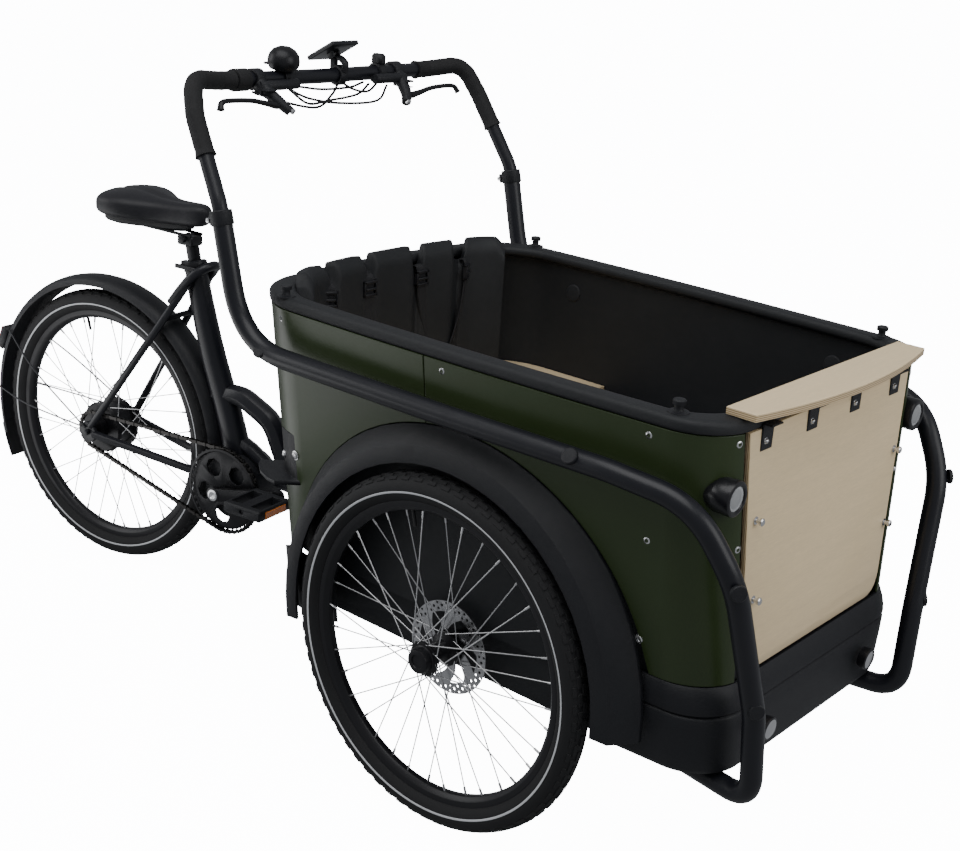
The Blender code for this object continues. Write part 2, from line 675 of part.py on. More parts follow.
def make_controls():
    """The twist shifter, bell and display."""
    ring, hole = clamp_ring("twist_shifter", -0.216, 0.030, 0.0200)
    keep(cut(ring, hole), RUBBER, shifter_axis)

    bell_y = -0.110
    ring, hole = clamp_ring("bell", bell_y, 0.012, 0.0185)
    centre = bar_point(bell_y)
    post = rod("post", centre + Vector((0, 0, 0.014)), centre + Vector((0, 0, 0.034)), 0.005, sides=12)
    dome = turned("dome", centre + Vector((0, 0, 0.030)),
                  [(0.0, -0.0005), (0.012, 0.000), (0.024, 0.004), (0.028, 0.012), (0.026, 0.021), (0.018, 0.029),
                   (0.009, 0.033), (0.0, 0.034)][::-1], ring=False, steps=14)
    reshape(dome, lambda x, y, z: (x, bell_y - (z - centre.z - 0.030), centre.z + 0.030 - (y - bell_y)))
    keep(cut(join(ring, post, dome), hole), SATIN_BLACK, bar_origin)
    pin = centre + Vector((0.0, -0.010, 0.0245))
    tab = box("bell_lever", pin + Vector((-0.034, -0.007, -0.0030)), pin + Vector((-0.0065, 0.009, 0.0015)), 0.0015)
    keep(tab, SATIN_BLACK, bell_axis)

    display_y = 0.035
    ring, hole = clamp_ring("display_mount", display_y, 0.016, 0.0190)
    centre = bar_point(display_y)
    hinge = centre + Vector((-0.012, 0, 0.033))
    post = box("post", centre + Vector((-0.018, -0.005, 0.012)), centre + Vector((-0.006, 0.005, 0.0332)))
    keep(cut(join(ring, post), hole), SATIN_BLACK, bar_origin)
    plate_low, plate_high = Vector((-0.038, -0.034, 0.0070)), Vector((0.040, 0.034, 0.0160))
    screen = box("display", plate_low, plate_high, 0.002)
    cheeks = [box("cheek", (-0.008, low, -0.004), (0.008, low + 0.004, 0.008)) for low in (-0.0098, 0.0058)]
    join(screen, *cheeks)
    tilt = radians(-28)
    reshape(screen, lambda x, y, z: hinge + Vector((x * cos(tilt) + z * sin(tilt), y,
                                                    -x * sin(tilt) + z * cos(tilt))))
    keep(screen, PLASTIC_BLACK, display_axis)


# ---------- wheels ----------
TYRE_SECTION = [(0.2568, -0.0125), (0.2568, 0.0125), (0.2680, 0.0222), (0.2830, 0.0238), (0.2955, 0.0160),
                (0.3020, 0.0), (0.2955, -0.0160), (0.2830, -0.0238), (0.2680, -0.0222)]
RIM_SECTION = [(0.2400, -0.0060), (0.2400, 0.0060), (0.2470, 0.0128), (0.2565, 0.0128), (0.2565, -0.0128),
               (0.2470, -0.0128)]


def make_wheel(word, centre, side, empty, hub_profile, flanges):
    """Tyre, rim, and a hub with its spokes; the hub's profile is (radius, distance outward)."""
    keep(turned(f"{word}_tyre", centre, TYRE_SECTION, side, 36), RUBBER, empty)
    keep(turned(f"{word}_rim", centre, RIM_SECTION, side, 36), SATIN_BLACK, empty)
    hub = turned(f"{word}_hub", centre, hub_profile, side, 12)
    spokes = []
    for index, (along, radius) in enumerate(flanges):
        for number in range(6):
            angle = 2 * pi * (number + 0.5 * index) / 6
            start = centre + Vector((radius * cos(angle), side * along, radius * sin(angle)))
            end = centre + Vector((0.2380 * cos(angle), side * 0.002 * (1 - 2 * index), 0.2380 * sin(angle)))
            spokes.append(rod("spoke", start, end, 0.0014, sides=4))
    keep(join(hub, *spokes), SILVER, empty)


def make_front_wheels():
    for side, word in ((-1, "right"), (1, "left")):
        centre = Vector((0, side * TRACK_HALF, WHEEL_RADIUS))
        hub_profile = [(0.0080, -0.0300), (0.0080, 0.0440), (0.0200, 0.0440), (0.0215, 0.0400), (0.0215, 0.0300),
                       (0.0290, 0.0290), (0.0290, 0.0250), (0.0170, 0.0230), (0.0170, -0.0200), (0.0290, -0.0220),
                       (0.0290, -0.0255), (0.0230, -0.0265), (0.0230, -0.0300)]
        make_wheel(f"front_{word}", centre, side, wheel_axis[side], hub_profile, [(0.027, 0.026), (-0.0237, 0.026)])
        disc = [(0.0150, -0.0323), (0.0150, -0.0303), (0.0800, -0.0303), (0.0800, -0.0323)]
        keep(turned(f"rotor_{word}", centre, disc, side, 30), STEEL, wheel_axis[side])


def make_rear_wheel():
    hub_profile = [(0.0065, -0.0420), (0.0065, 0.0545), (0.0300, 0.0545), (0.0345, 0.0515), (0.0345, 0.0485),
                   (0.0230, 0.0480), (0.0230, 0.0330), (0.0520, 0.0300), (0.0560, 0.0260), (0.0560, 0.0230),
                   (0.0460, 0.0210), (0.0460, -0.0210), (0.0560, -0.0230), (0.0560, -0.0260), (0.0480, -0.0340),
                   (0.0400, -0.0420)]
    make_wheel("rear", REAR_AXLE, -1, rear_wheel_axis, hub_profile, [(0.0245, 0.052), (-0.0245, 0.052)])


# ---------- the rear frame ----------
def motor_space():
    """The room that the motor's housing takes in the tubes round it."""
    return rod("motor_space", (MOTOR_CENTRE.x, -0.08, MOTOR_CENTRE.z), (MOTOR_CENTRE.x, 0.08, MOTOR_CENTRE.z),
               MOTOR_RADIUS + GAP, sides=32)


def make_frame():
    """Seat tube, two main tubes, and the steering head that turns on the pin."""
    seat = rod("seat_tube", SEAT_TUBE_LOW, SEAT_TUBE_TOP, SEAT_TUBE_RADIUS, sides=20)
    bore = rod("bore", SEAT_TUBE_TOP + SEAT_DIRECTION * 0.01, SEAT_TUBE_TOP - SEAT_DIRECTION * 0.170, 0.0140)
    keep(cut(seat, bore, motor_space()), SATIN_BLACK, rear_pivot)

    upper_route = bent([(-0.893, 0, 0.445), (-0.830, 0, 0.458), (-0.745, 0, 0.420), (-0.690, 0, 0.305),
                        (-0.600, 0, 0.290), (-0.470, 0, 0.290)], 0.07, 4)
    upper = tube("main_frame", upper_route, 0.0220, resolution=2)
    lower_route = bent([(-0.877, 0, 0.374), (-0.800, 0, 0.345), (-0.715, 0, 0.296), (-0.600, 0, 0.288)], 0.05, 4)
    lower = tube("lower_tube", lower_route, 0.0170, resolution=2)
    head = rod("steering_head", (PIVOT_X, 0, 0.2646), (PIVOT_X, 0, 0.3216), 0.036, sides=24)
    hole = rod("hole", (PIVOT_X, 0, 0.25), (PIVOT_X, 0, 0.34), 0.0105)
    seat_space = rod("seat_space", SEAT_TUBE_LOW, SEAT_TUBE_TOP, SEAT_TUBE_RADIUS + GAP, sides=20)
    keep(cut(join(upper, lower, head), hole, seat_space, motor_space()), SATIN_BLACK, rear_pivot)


def make_stays():
    """Each side's chain stay, seat stay and dropout; the left one carries the axle and the bridge."""
    for side, word in ((-1, "right"), (1, "left")):
        chain_route = bent([(-0.855, side * 0.0320, 0.272), (-0.925, side * 0.0350, 0.275),
                            (-1.187, side * 0.0670, 0.300)], 0.06, 3)
        stay = tube(f"rear_stays_{word}", chain_route, 0.0090)
        seat_stay = rod("seat_stay", (-0.9510, side * 0.0310, 0.6720), (-1.1960, side * 0.0675, 0.3160), 0.0080,
                        sides=12)
        lug = rod("lug", (-0.9500, side * 0.0197, 0.6700), (-0.9500, side * 0.0330, 0.6700), 0.0075, sides=12)
        dropout = rod("dropout", (-WHEELBASE, side * 0.0620, WHEEL_RADIUS), (-WHEELBASE, side * 0.0700, WHEEL_RADIUS),
                      0.0230, sides=20)
        others = [seat_stay, lug, dropout]
        if side > 0:
            others.append(rod("axle", (-WHEELBASE, -0.0775, WHEEL_RADIUS), (-WHEELBASE, 0.0775, WHEEL_RADIUS),
                              0.0060, sides=12))
            others.append(rod("bridge", (-1.0074, -0.0300, 0.5900), (-1.0074, 0.0390, 0.5900), 0.0060, sides=12))
            stay = join(stay, *others)
        else:
            hole = rod("hole", (-WHEELBASE, -0.05, WHEEL_RADIUS), (-WHEELBASE, -0.09, WHEEL_RADIUS), 0.0064, sides=12)
            stay = cut(join(stay, *others), hole)
        keep(cut(stay, motor_space()), SATIN_BLACK, rear_pivot)


def make_motor():
    """The mid motor's housing, with the crank axle's bore through it."""
    housing = rod("motor_housing", (MOTOR_CENTRE.x, -0.0400, MOTOR_CENTRE.z),
                  (MOTOR_CENTRE.x, 0.0400, MOTOR_CENTRE.z), MOTOR_RADIUS, sides=32)
    bore = rod("bore", (BOTTOM_BRACKET.x, -0.08, BOTTOM_BRACKET.z), (BOTTOM_BRACKET.x, 0.08, BOTTOM_BRACKET.z), 0.0110)
    keep(cut(housing, bore), SATIN_BLACK, rear_pivot)


def crank_end(side):
    angle = radians(CRANK_ANGLE if side < 0 else CRANK_ANGLE + 180)
    return BOTTOM_BRACKET + Vector((CRANK_LENGTH * cos(angle), 0, CRANK_LENGTH * sin(angle)))


def make_drive():
    """Chainring, cranks, pedals and chain."""
    ring = turned("chainring", BOTTOM_BRACKET, [(0.0102, 0.0480), (0.0102, 0.0520), (CHAINRING_RADIUS - 0.0060, 0.0520),
                                                (CHAINRING_RADIUS - 0.0060, 0.0480)], -1, 30)
    windows = []
    for number in range(5):
        angle = radians(CRANK_ANGLE + 36 + 72 * number)
        place = BOTTOM_BRACKET + Vector((0.052 * cos(angle), 0, 0.052 * sin(angle)))
        windows.append(rod("window", place + Vector((0, -0.06, 0)), place + Vector((0, -0.03, 0)), 0.0200, sides=8))
    keep(cut(ring, *windows), SATIN_BLACK, crank_axis)

    for side, word in ((-1, "right"), (1, "left")):
        end = crank_end(side)
        low, high = side * 0.0720, side * 0.0860
        hub = rod(f"crank_{word}", BOTTOM_BRACKET + Vector((0, low, 0)), BOTTOM_BRACKET + Vector((0, high, 0)), 0.0170)
        tip = rod("tip", end + Vector((0, low, 0)), end + Vector((0, high, 0)), 0.0130)
        direction = (end - BOTTOM_BRACKET).normalized()
        across = Vector((-direction.z, 0, direction.x))
        rows = [[centre + across * half + Vector((0, y, 0)) for half, y in
                 ((-width, low + side * 0.001), (width, low + side * 0.001), (width, high - side * 0.001),
                  (-width, high - side * 0.001))]
                for centre, width in ((BOTTOM_BRACKET, 0.0140), (end, 0.0100))]
        axle = rod("axle", end + Vector((0, high - side * 0.002, 0)), end + Vector((0, side * 0.1850, 0)), 0.0045, sides=12)
        crank = join(hub, tip, loft("arm", rows), axle)
        if side > 0:
            crank = join(crank, rod("spindle", BOTTOM_BRACKET + Vector((0, -0.0715, 0)),
                                    BOTTOM_BRACKET + Vector((0, 0.0740, 0)), 0.0095))
        keep(crank, SATIN_BLACK, crank_axis)
        corners = sorted([side * 0.0920, side * 0.1880])
        pedal = box(f"pedal_{word}", (end.x - 0.046, corners[0], end.z - 0.011), (end.x + 0.046, corners[1], end.z + 0.011), 0.003)
        hole = rod("hole", end + Vector((0, side * 0.05, 0)), end + Vector((0, side * 0.22, 0)), 0.0050, sides=12)
        openings = [box("opening", (end.x + x - 0.013, side * 0.140 - 0.033, end.z - 0.02),
                        (end.x + x + 0.013, side * 0.140 + 0.033, end.z + 0.02)) for x in (-0.025, 0.025)]
        keep(cut(pedal, hole, *openings), PLASTIC_BLACK, pedal_axis[side])

    def loop(extra):
        small, large = SPROCKET_RADIUS + extra, CHAINRING_RADIUS + extra
        apart = BOTTOM_BRACKET - REAR_AXLE
        lean = math.atan2(apart.z, apart.x)
        tangent = math.acos((small - large) / apart.length)
        points = []
        for step in range(17):
            angle = lean + tangent - 2 * tangent * step / 16
            points.append((BOTTOM_BRACKET.x + large * cos(angle), BOTTOM_BRACKET.z + large * sin(angle)))
        for step in range(13):
            angle = lean - tangent - (2 * pi - 2 * tangent) * step / 12
            points.append((REAR_AXLE.x + small * cos(angle), REAR_AXLE.z + small * sin(angle)))
        return points
    chain = plate("chain", [loop(0.004), list(reversed(loop(-0.0035)))], 0.0070)
    reshape(chain, lambda x, y, z: (x, y + CHAIN_Y, z))
    keep(chain, STEEL, rear_pivot)


def make_fender():
    def section(angle):
        return [(0.3180, 0.0310), (0.3310, 0.0240), (0.3360, 0.0), (0.3310, -0.0240), (0.3180, -0.0310),
                (0.3180, -0.0285), (0.3290, -0.0220), (0.3333, 0.0), (0.3290, 0.0220), (0.3180, 0.0285)]
    fender = swept_ring("rear_fender", REAR_AXLE, section, 38, 196, 24)
    angle = radians(157)
    outward, around = Vector((cos(angle), 0, sin(angle))), Vector((sin(angle), 0, -cos(angle)))
    lamp = box("tail_light", (0.3345, -0.024, -0.028), (0.3600, 0.024, 0.028), 0.004)
    reshape(lamp, lambda x, y, z: REAR_AXLE + outward * x + Vector((0, y, 0)) + around * z)
    keep(join(fender, lamp), PLASTIC_BLACK, rear_pivot)


def make_seat():
    """Post with its clamp head and rails, the quick release collar, and the saddle."""
    low = SEAT_TUBE_TOP - SEAT_DIRECTION * 0.150
    top = SEAT_TUBE_TOP + SEAT_DIRECTION * 0.048
    post = rod("seat_post", low, top, 0.0136, sides=16)
    head = box("head", (top.x - 0.024, -0.017, top.z - 0.012), (top.x + 0.018, 0.017, top.z + 0.008), 0.003)
    rails = [rod("rail", (-1.150, side * 0.0220, 0.7735), (-0.955, side * 0.0160, 0.7685), 0.0035, sides=8)
             for side in (-1, 1)]
    yoke = rod("yoke", (top.x - 0.005, -0.026, top.z + 0.002), (top.x - 0.005, 0.026, top.z + 0.002), 0.008, sides=12)
    keep(join(post, head, yoke, *rails), SATIN_BLACK, post_axis)

    place = SEAT_TUBE_TOP - SEAT_DIRECTION * 0.016
    collar = rod("seat_clamp", place, place + SEAT_DIRECTION * 0.018, 0.0245, sides=24)
    hole = rod("hole", place - SEAT_DIRECTION * 0.02, place + SEAT_DIRECTION * 0.04, SEAT_TUBE_RADIUS + 0.0005, sides=20)
    ears = box("ears", (place.x - 0.036, -0.008, place.z), (place.x - 0.018, 0.008, place.z + 0.015), 0.001)
    pin = rod("pin", (place.x - 0.030, -0.024, place.z + 0.008), (place.x - 0.030, 0.018, place.z + 0.008), 0.003, sides=8)
    blade = box("blade", (place.x - 0.034, -0.028, place.z + 0.004), (place.x + 0.026, -0.0235, place.z + 0.013), 0.001)
    keep(cut(join(collar, ears, pin, blade), hole), SATIN_BLACK, rear_pivot)

    rows = []
    for x, half, low_z, high_z in SADDLE_SECTIONS:
        middle = (low_z + high_z) / 2
        row = []
        for step in range(12):
            angle = 2 * pi * step / 12
            row.append(Vector((x, half * cos(angle), middle + (high_z - low_z) / 2 * sin(angle))))
        rows.append(row)
    keep(loft("saddle", rows), RUBBER, post_axis)


# ---------- empties on the joints ----------
straight_box = empty_at("box_origin", (0, 0, 0))
wheel_axis = {side: empty_at(f"front_{word}_axis", (0, side * TRACK_HALF, WHEEL_RADIUS), straight_box)
              for side, word in ((-1, "right"), (1, "left"))}
bar_origin = empty_at("handlebar_origin", (-0.508, 0, 0.923), straight_box)
lever_axis = {side: empty_at(f"lever_{word}_axis", LEVER_PIVOT[side], bar_origin)
              for side, word in ((-1, "right"), (1, "left"))}
shifter_axis = empty_at("shifter_axis", bar_point(-0.216), bar_origin)
bell_axis = empty_at("bell_axis", bar_point(-0.110) + Vector((0, 0, 0.0245)), bar_origin)
display_axis = empty_at("display_axis", bar_point(0.035) + Vector((-0.012, 0, 0.033)), bar_origin)
rear_pivot = empty_at("rear_pivot", (PIVOT_X, 0, 0), turn=REST_STEER)
rear_wheel_axis = empty_at("rear_wheel_axis", REAR_AXLE, rear_pivot)
crank_axis = empty_at("crank_axis", BOTTOM_BRACKET, rear_pivot)
pedal_axis = {side: empty_at(f"pedal_{word}_axis", crank_end(side), crank_axis)
              for side, word in ((-1, "right"), (1, "left"))}
post_axis = empty_at("post_axis", SEAT_TUBE_TOP, rear_pivot)

make_tub()
make_panels()
make_arches()
make_skirt()
make_tray()
make_chassis()
make_boards()
make_backrest()
make_harnesses()
make_rails()
make_steps()
make_lamps()
make_handlebar()
make_brakes()
make_controls()
make_front_wheels()
make_rear_wheel()
make_frame()
make_stays()
make_motor()
make_drive()
make_fender()
make_seat()
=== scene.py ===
import json
import math
from math import cos, pi, radians, sin, tan

import bpy
import numpy as np
from mathutils import Matrix, Vector


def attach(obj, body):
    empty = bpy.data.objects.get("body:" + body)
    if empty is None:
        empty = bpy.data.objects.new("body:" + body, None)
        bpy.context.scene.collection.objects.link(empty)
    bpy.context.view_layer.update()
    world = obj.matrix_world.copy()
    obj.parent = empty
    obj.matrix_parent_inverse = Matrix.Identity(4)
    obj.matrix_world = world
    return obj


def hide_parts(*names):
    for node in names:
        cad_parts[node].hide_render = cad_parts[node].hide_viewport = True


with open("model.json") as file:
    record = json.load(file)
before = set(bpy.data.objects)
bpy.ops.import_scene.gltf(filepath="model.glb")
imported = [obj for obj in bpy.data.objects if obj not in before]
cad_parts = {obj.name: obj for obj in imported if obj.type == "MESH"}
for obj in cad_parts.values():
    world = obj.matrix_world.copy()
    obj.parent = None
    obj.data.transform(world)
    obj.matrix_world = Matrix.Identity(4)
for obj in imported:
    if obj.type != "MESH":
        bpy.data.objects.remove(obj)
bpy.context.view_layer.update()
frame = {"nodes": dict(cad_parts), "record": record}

# Metres. +X forward, +Y left, +Z up, ground at z = 0.
# Pieces are laid out straight with the front axle at x = 0; onBox and onRear put them where they stand.
shiftX = 0.4955
pivotX = -0.45
restSteer = radians(8)
wheelRadius, trackHalf, rearAxleX = 0.302, 0.355, -1.203


def onBox(points):
    return np.asarray(points, float) + np.array([shiftX, 0, 0])


def onRear(points):
    # turned about the steering pin: x' = c x - s y, y' = s x + c y
    p = np.asarray(points, float)
    x, y = p[..., 0] - pivotX, p[..., 1]
    turnedPoints = np.stack([pivotX + cos(restSteer) * x - sin(restSteer) * y,
                             sin(restSteer) * x + cos(restSteer) * y, p[..., 2]], -1)
    return onBox(turnedPoints)


# every shape is (vertices, faces), and joined puts several in one
def gridShape(points, wrapU=False, wrapV=False, capU=False):
    # points[i, j]; faces between neighbouring rows and columns
    rows, cols = points.shape[:2]
    i, j = np.meshgrid(np.arange(rows if wrapU else rows - 1), np.arange(cols if wrapV else cols - 1),
                       indexing="ij")
    i2, j2 = (i + 1) % rows, (j + 1) % cols
    faces = np.stack([i * cols + j, i2 * cols + j, i2 * cols + j2, i * cols + j2], -1).reshape(-1, 4).tolist()
    if capU:
        faces += [list(range(cols)), [(rows - 1) * cols + k for k in range(cols)][::-1]]
    return points.reshape(-1, 3), faces


def joined(shapes):
    verts, faces, start = [], [], 0
    for v, f in shapes:
        verts.append(np.asarray(v, float))
        faces += [[k + start for k in face] for face in f]
        start += len(v)
    return np.concatenate(verts), faces


def moved(shape, turn, at):
    return shape[0] @ turn.T + at, shape[1]


def rearShape(shape):
    return onRear(shape[0]), shape[1]


def bothHalves(half):
    # a profile up to its middle, then its mirror image; a point on the middle is not repeated
    return half + [(r, -w) for r, w in half[::-1] if w]


def unit(v):
    v = np.asarray(v, float)
    return v / np.linalg.norm(v, axis=-1, keepdims=True)


def towards(axis, hint=(0, 0, 1)):
    # columns: two sideways directions, then the axis itself
    axis = unit(axis)
    hint = np.array(hint, float)
    if abs(axis @ hint) > 0.95:
        hint = np.array([1.0, 0, 0])
    side = unit(np.cross(hint, axis))
    return np.stack([side, np.cross(axis, side), axis], -1)


def lathe(profile, centre, axis, steps=48, closed=False):
    # profile (radius, along axis) turned about the axis
    profile = np.array(profile, float)
    angle = np.linspace(0, 2 * pi, steps, endpoint=False)
    local = np.stack([profile[:, :1] * np.cos(angle), profile[:, :1] * np.sin(angle),
                      np.repeat(profile[:, 1:], steps, 1)], -1)
    return gridShape(local @ towards(axis).T + np.array(centre), wrapU=closed, wrapV=True)


def curveThrough(points, perSpan=10):
    # Catmull-Rom: passes every point with continuous slope
    p = np.asarray(points, float)
    p = np.concatenate([[2 * p[0] - p[1]], p, [2 * p[-1] - p[-2]]])
    t = np.linspace(0, 1, perSpan, endpoint=False)[:, None]
    out = []
    for a, b, c, d in zip(p, p[1:], p[2:], p[3:]):
        out.append(0.5 * (2 * b + (c - a) * t + (2 * a - 5 * b + 4 * c - d) * t ** 2
                          + (3 * b - a - 3 * c + d) * t ** 3))
    return np.concatenate(out + [p[-2:-1]])


def rounded(points, radius, steps=8):
    # straight runs with each inner corner blended by a quadratic arc
    p = [np.array(q, float) for q in points]
    radii = radius if isinstance(radius, (list, tuple)) else [radius] * len(p)
    out = [p[0]]
    for k in range(1, len(p) - 1):
        a, b = p[k - 1] - p[k], p[k + 1] - p[k]
        half = math.acos(max(-1, min(1, unit(a) @ unit(b)))) / 2
        reach = min(radii[k] / max(tan(half), 1e-6), 0.48 * np.linalg.norm(a), 0.48 * np.linalg.norm(b))
        start, end = p[k] + unit(a) * reach, p[k] + unit(b) * reach
        for t in np.linspace(0, 1, steps + 1):
            out.append(start * (1 - t) ** 2 + p[k] * 2 * t * (1 - t) + end * t ** 2)
    return np.array(out + [p[-1]])


def sweep(path, radius, sides=20, flat=1.0, hint=(0, 0, 1)):
    # a ring carried along the path with the least twist; radius may change along it
    path = np.asarray(path, float)
    keep = np.r_[True, np.linalg.norm(np.diff(path, axis=0), axis=1) > 1e-7]
    path = path[keep]
    radius = np.broadcast_to(np.asarray(radius, float), keep.shape)[keep]
    tangent = unit(np.gradient(path, axis=0))
    side = towards(tangent[0], hint)[:, 0]
    angle = np.linspace(0, 2 * pi, sides, endpoint=False)
    rows = []
    for point, along, r in zip(path, tangent, radius):
        side = unit(side - (side @ along) * along)
        up = np.cross(along, side)
        rows.append(point + r * (np.cos(angle)[:, None] * side + flat * np.sin(angle)[:, None] * up))
    return gridShape(np.array(rows), wrapV=True, capU=True)


def block(low, high, bevel=0.0):
    # a box whose edges are drawn in by the bevel
    lo, hi = np.array(low, float), np.array(high, float)
    b = min(bevel, 0.49 * (hi - lo).min())
    x0, y0, x1, y1 = lo[0], lo[1], hi[0], hi[1]
    loop = lambda d: [(x0 + d, y0 + b), (x0 + b, y0 + d), (x1 - b, y0 + d), (x1 - d, y0 + b),
                      (x1 - d, y1 - b), (x1 - b, y1 - d), (x0 + b, y1 - d), (x0 + d, y1 - b)]
    rows = [[(x, y, z) for x, y in ring] for ring, z in
            ((loop(b), lo[2]), (loop(0), lo[2] + b), (loop(0), hi[2] - b), (loop(b), hi[2]))]
    return gridShape(np.array(rows), wrapV=True, capU=True)


def build(name, shape, look, body, smoothAngle=35, replaces=()):
    verts, faces = shape
    mesh = bpy.data.meshes.new(name)
    mesh.from_pydata(np.asarray(verts).tolist(), [], faces)
    mesh.polygons.foreach_set("use_smooth", [True] * len(mesh.polygons))
    mesh.set_sharp_from_angle(angle=radians(smoothAngle))
    mesh.materials.append(look.mat)
    piece = bpy.data.objects.new(name, mesh)
    bpy.context.scene.collection.objects.link(piece)
    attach(piece, body)
    if replaces:
        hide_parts(*replaces)
    return piece


def operator(kind, swap=False):
    return lambda number, other: number.maths(kind, other, swap=swap)


class Num:
    # a shader value that can be added, subtracted, multiplied and compared
    def __init__(self, look, socket):
        self.look, self.socket = look, socket

    def maths(self, kind, *others, swap=False):
        terms = [self, *others]
        if swap:
            terms = terms[::-1]
        return self.look.node("ShaderNodeMath", dict(enumerate(terms)), operation=kind)

    __add__ = operator("ADD")
    __sub__ = operator("SUBTRACT")
    __rsub__ = operator("SUBTRACT", swap=True)
    __mul__ = operator("MULTIPLY")
    __gt__ = operator("GREATER_THAN")
    __lt__ = operator("LESS_THAN")


class Look:
    # a Principled material in one finish; metallic and roughness are numbers or Nums
    def __init__(self, name, slot, colour, rough, metal=0.0, coat=0.0, vary=0.12, grain=(900, 0.15),
                 scuff=0.08, shine=0.32):
        self.slot = slot
        self.mat = bpy.data.materials.new(name)
        self.mat.use_nodes = True
        self.tree = self.mat.node_tree
        self.shader = self.tree.nodes["Principled BSDF"]
        self.place = self.node("ShaderNodeTexCoord", {}, "Object")
        cloud = self.noise(9, 4, 0.6)
        fine = self.noise(grain[0], 3, 0.6)
        dark = [c * (1 - vary) for c in colour]
        light = [min(1, c * (1 + vary) + 0.004) for c in colour]
        self.colour = self.mix(cloud, dark, light)
        self.set("Base Color", self.colour)
        self.set("Roughness", cloud * (2 * scuff) + (rough - scuff))
        self.set("Metallic", metal)
        self.set("Coat Weight", coat)
        self.set("Coat Roughness", 0.18)
        self.set("Specular IOR Level", shine)
        self.bump(fine, grain[1])

    def node(self, kind, inputs, out=0, **settings):
        made = self.tree.nodes.new(kind)
        for key, value in settings.items():
            setattr(made, key, value)
        for key, value in inputs.items():
            self.join(value, made.inputs[key])
        return Num(self, made.outputs[out])

    def join(self, value, socket):
        if isinstance(value, Num):
            self.tree.links.new(value.socket, socket)
        else:
            socket.default_value = value

    def set(self, name, value):
        for link in list(self.shader.inputs[name].links):
            self.tree.links.remove(link)
        self.join(value, self.shader.inputs[name])

    def noise(self, scale, detail=3, rough=0.5, stretch=(1, 1, 1)):
        spread = self.node("ShaderNodeVectorMath", {0: self.place, 1: stretch}, operation="MULTIPLY")
        return self.node("ShaderNodeTexNoise", {"Vector": spread, "Scale": scale, "Detail": detail,
                                                "Roughness": rough}, "Fac")

    def mix(self, share, a, b):
        fill = lambda c: c if isinstance(c, Num) else (*c, 1.0)
        return self.node("ShaderNodeMix", {0: share, 6: fill(a), 7: fill(b)}, 2, data_type="RGBA")

    def bump(self, height, strength, distance=0.001):
        self.set("Normal", self.node("ShaderNodeBump", {"Height": height, "Strength": strength,
                                                        "Distance": distance}, "Normal"))

    def parts(self, vector=None):
        split = self.tree.nodes.new("ShaderNodeSeparateXYZ")
        self.tree.links.new((vector or self.place).socket, split.inputs[0])
        return [Num(self, split.outputs[k]) for k in range(3)]


print("looks")
finishes = {
    "panelColour": (0.022, 0.036, 0.010), "frameColour": (0.006, 0.0065, 0.010),
    "plasticColour": (0.006, 0.0065, 0.009), "tubColour": (0.010, 0.011, 0.013),
    "plyColour": (0.88, 0.71, 0.45), "plyDark": (0.30, 0.19, 0.09),
    "tyreColour": (0.008, 0.008, 0.009), "steelColour": (0.58, 0.58, 0.59),
}
panelLook = Look("panelPaint", "box_panel", finishes["panelColour"], 0.34, coat=0.05, vary=0.06,
                 grain=(420, 0.05), scuff=0.05)
frameLook = Look("frameCoat", "frame_black", finishes["frameColour"], 0.36, coat=0.05, grain=(700, 0.10))
plasticLook = Look("blackPlastic", "black_plastic", finishes["plasticColour"], 0.50, grain=(1500, 0.35))
tubLook = Look("tubPlastic", "tub_plastic", finishes["tubColour"], 0.55, grain=(1300, 0.45))
tyreLook = Look("tyreRubber", "tyre", finishes["tyreColour"], 0.74, vary=0.2, grain=(600, 0.30))
rimLook = Look("rimAnodised", "rim", (0.008, 0.008, 0.010), 0.36, metal=0.2, grain=(1200, 0.05))
hubLook = Look("hubAlloy", "hub", finishes["steelColour"], 0.28, metal=1.0, vary=0.05, grain=(900, 0.04))
gripLook = Look("gripRubber", "grip", (0.008, 0.008, 0.009), 0.72, grain=(1100, 0.5))
saddleLook = Look("saddleCover", "saddle", (0.007, 0.007, 0.010), 0.44, grain=(520, 0.55))
alloyLook = Look("brightAlloy", "bright_alloy", (0.62, 0.62, 0.63), 0.24, metal=1.0, vary=0.05,
                 grain=(800, 0.05))
darkAlloyLook = Look("blackAlloy", "bright_alloy", (0.010, 0.010, 0.012), 0.34, metal=0.3, grain=(900, 0.08))
chainLook = Look("chainSteel", "chain_steel", (0.045, 0.043, 0.042), 0.38, metal=1.0, vary=0.3,
                 grain=(700, 0.1))
screwLook = Look("screwSteel", "hub", (0.66, 0.66, 0.67), 0.22, metal=1.0, vary=0.05, grain=(900, 0.03))
displayLook = Look("displayScreen", "display", (0.008, 0.009, 0.011), 0.30, coat=0.1, vary=0.05,
                   grain=(900, 0.02))
lampLook = Look("lampHousing", "lamp", (0.006, 0.006, 0.008), 0.30, coat=0.1, grain=(1200, 0.1))
cableLook = Look("cableCover", "black_plastic", (0.010, 0.010, 0.011), 0.42, grain=(900, 0.1))
ringLook = Look("reflectiveStrip", "tyre", (0.55, 0.56, 0.58), 0.40, vary=0.04, grain=(2500, 0.3), scuff=0.02)
orangeLook = Look("orangeReflector", "lamp", (0.85, 0.22, 0.02), 0.18, coat=0.8, vary=0.2, grain=(1600, 0.6))
redLook = Look("redLens", "lamp", (0.42, 0.012, 0.012), 0.16, coat=0.8, vary=0.2, grain=(1600, 0.5))

# the lens: nearly clear, with fine ribs
lensLook = Look("clearLens", "lamp", (0.80, 0.82, 0.84), 0.08, vary=0.03, grain=(300, 0.3), scuff=0.02)
lensLook.set("Alpha", 0.35)

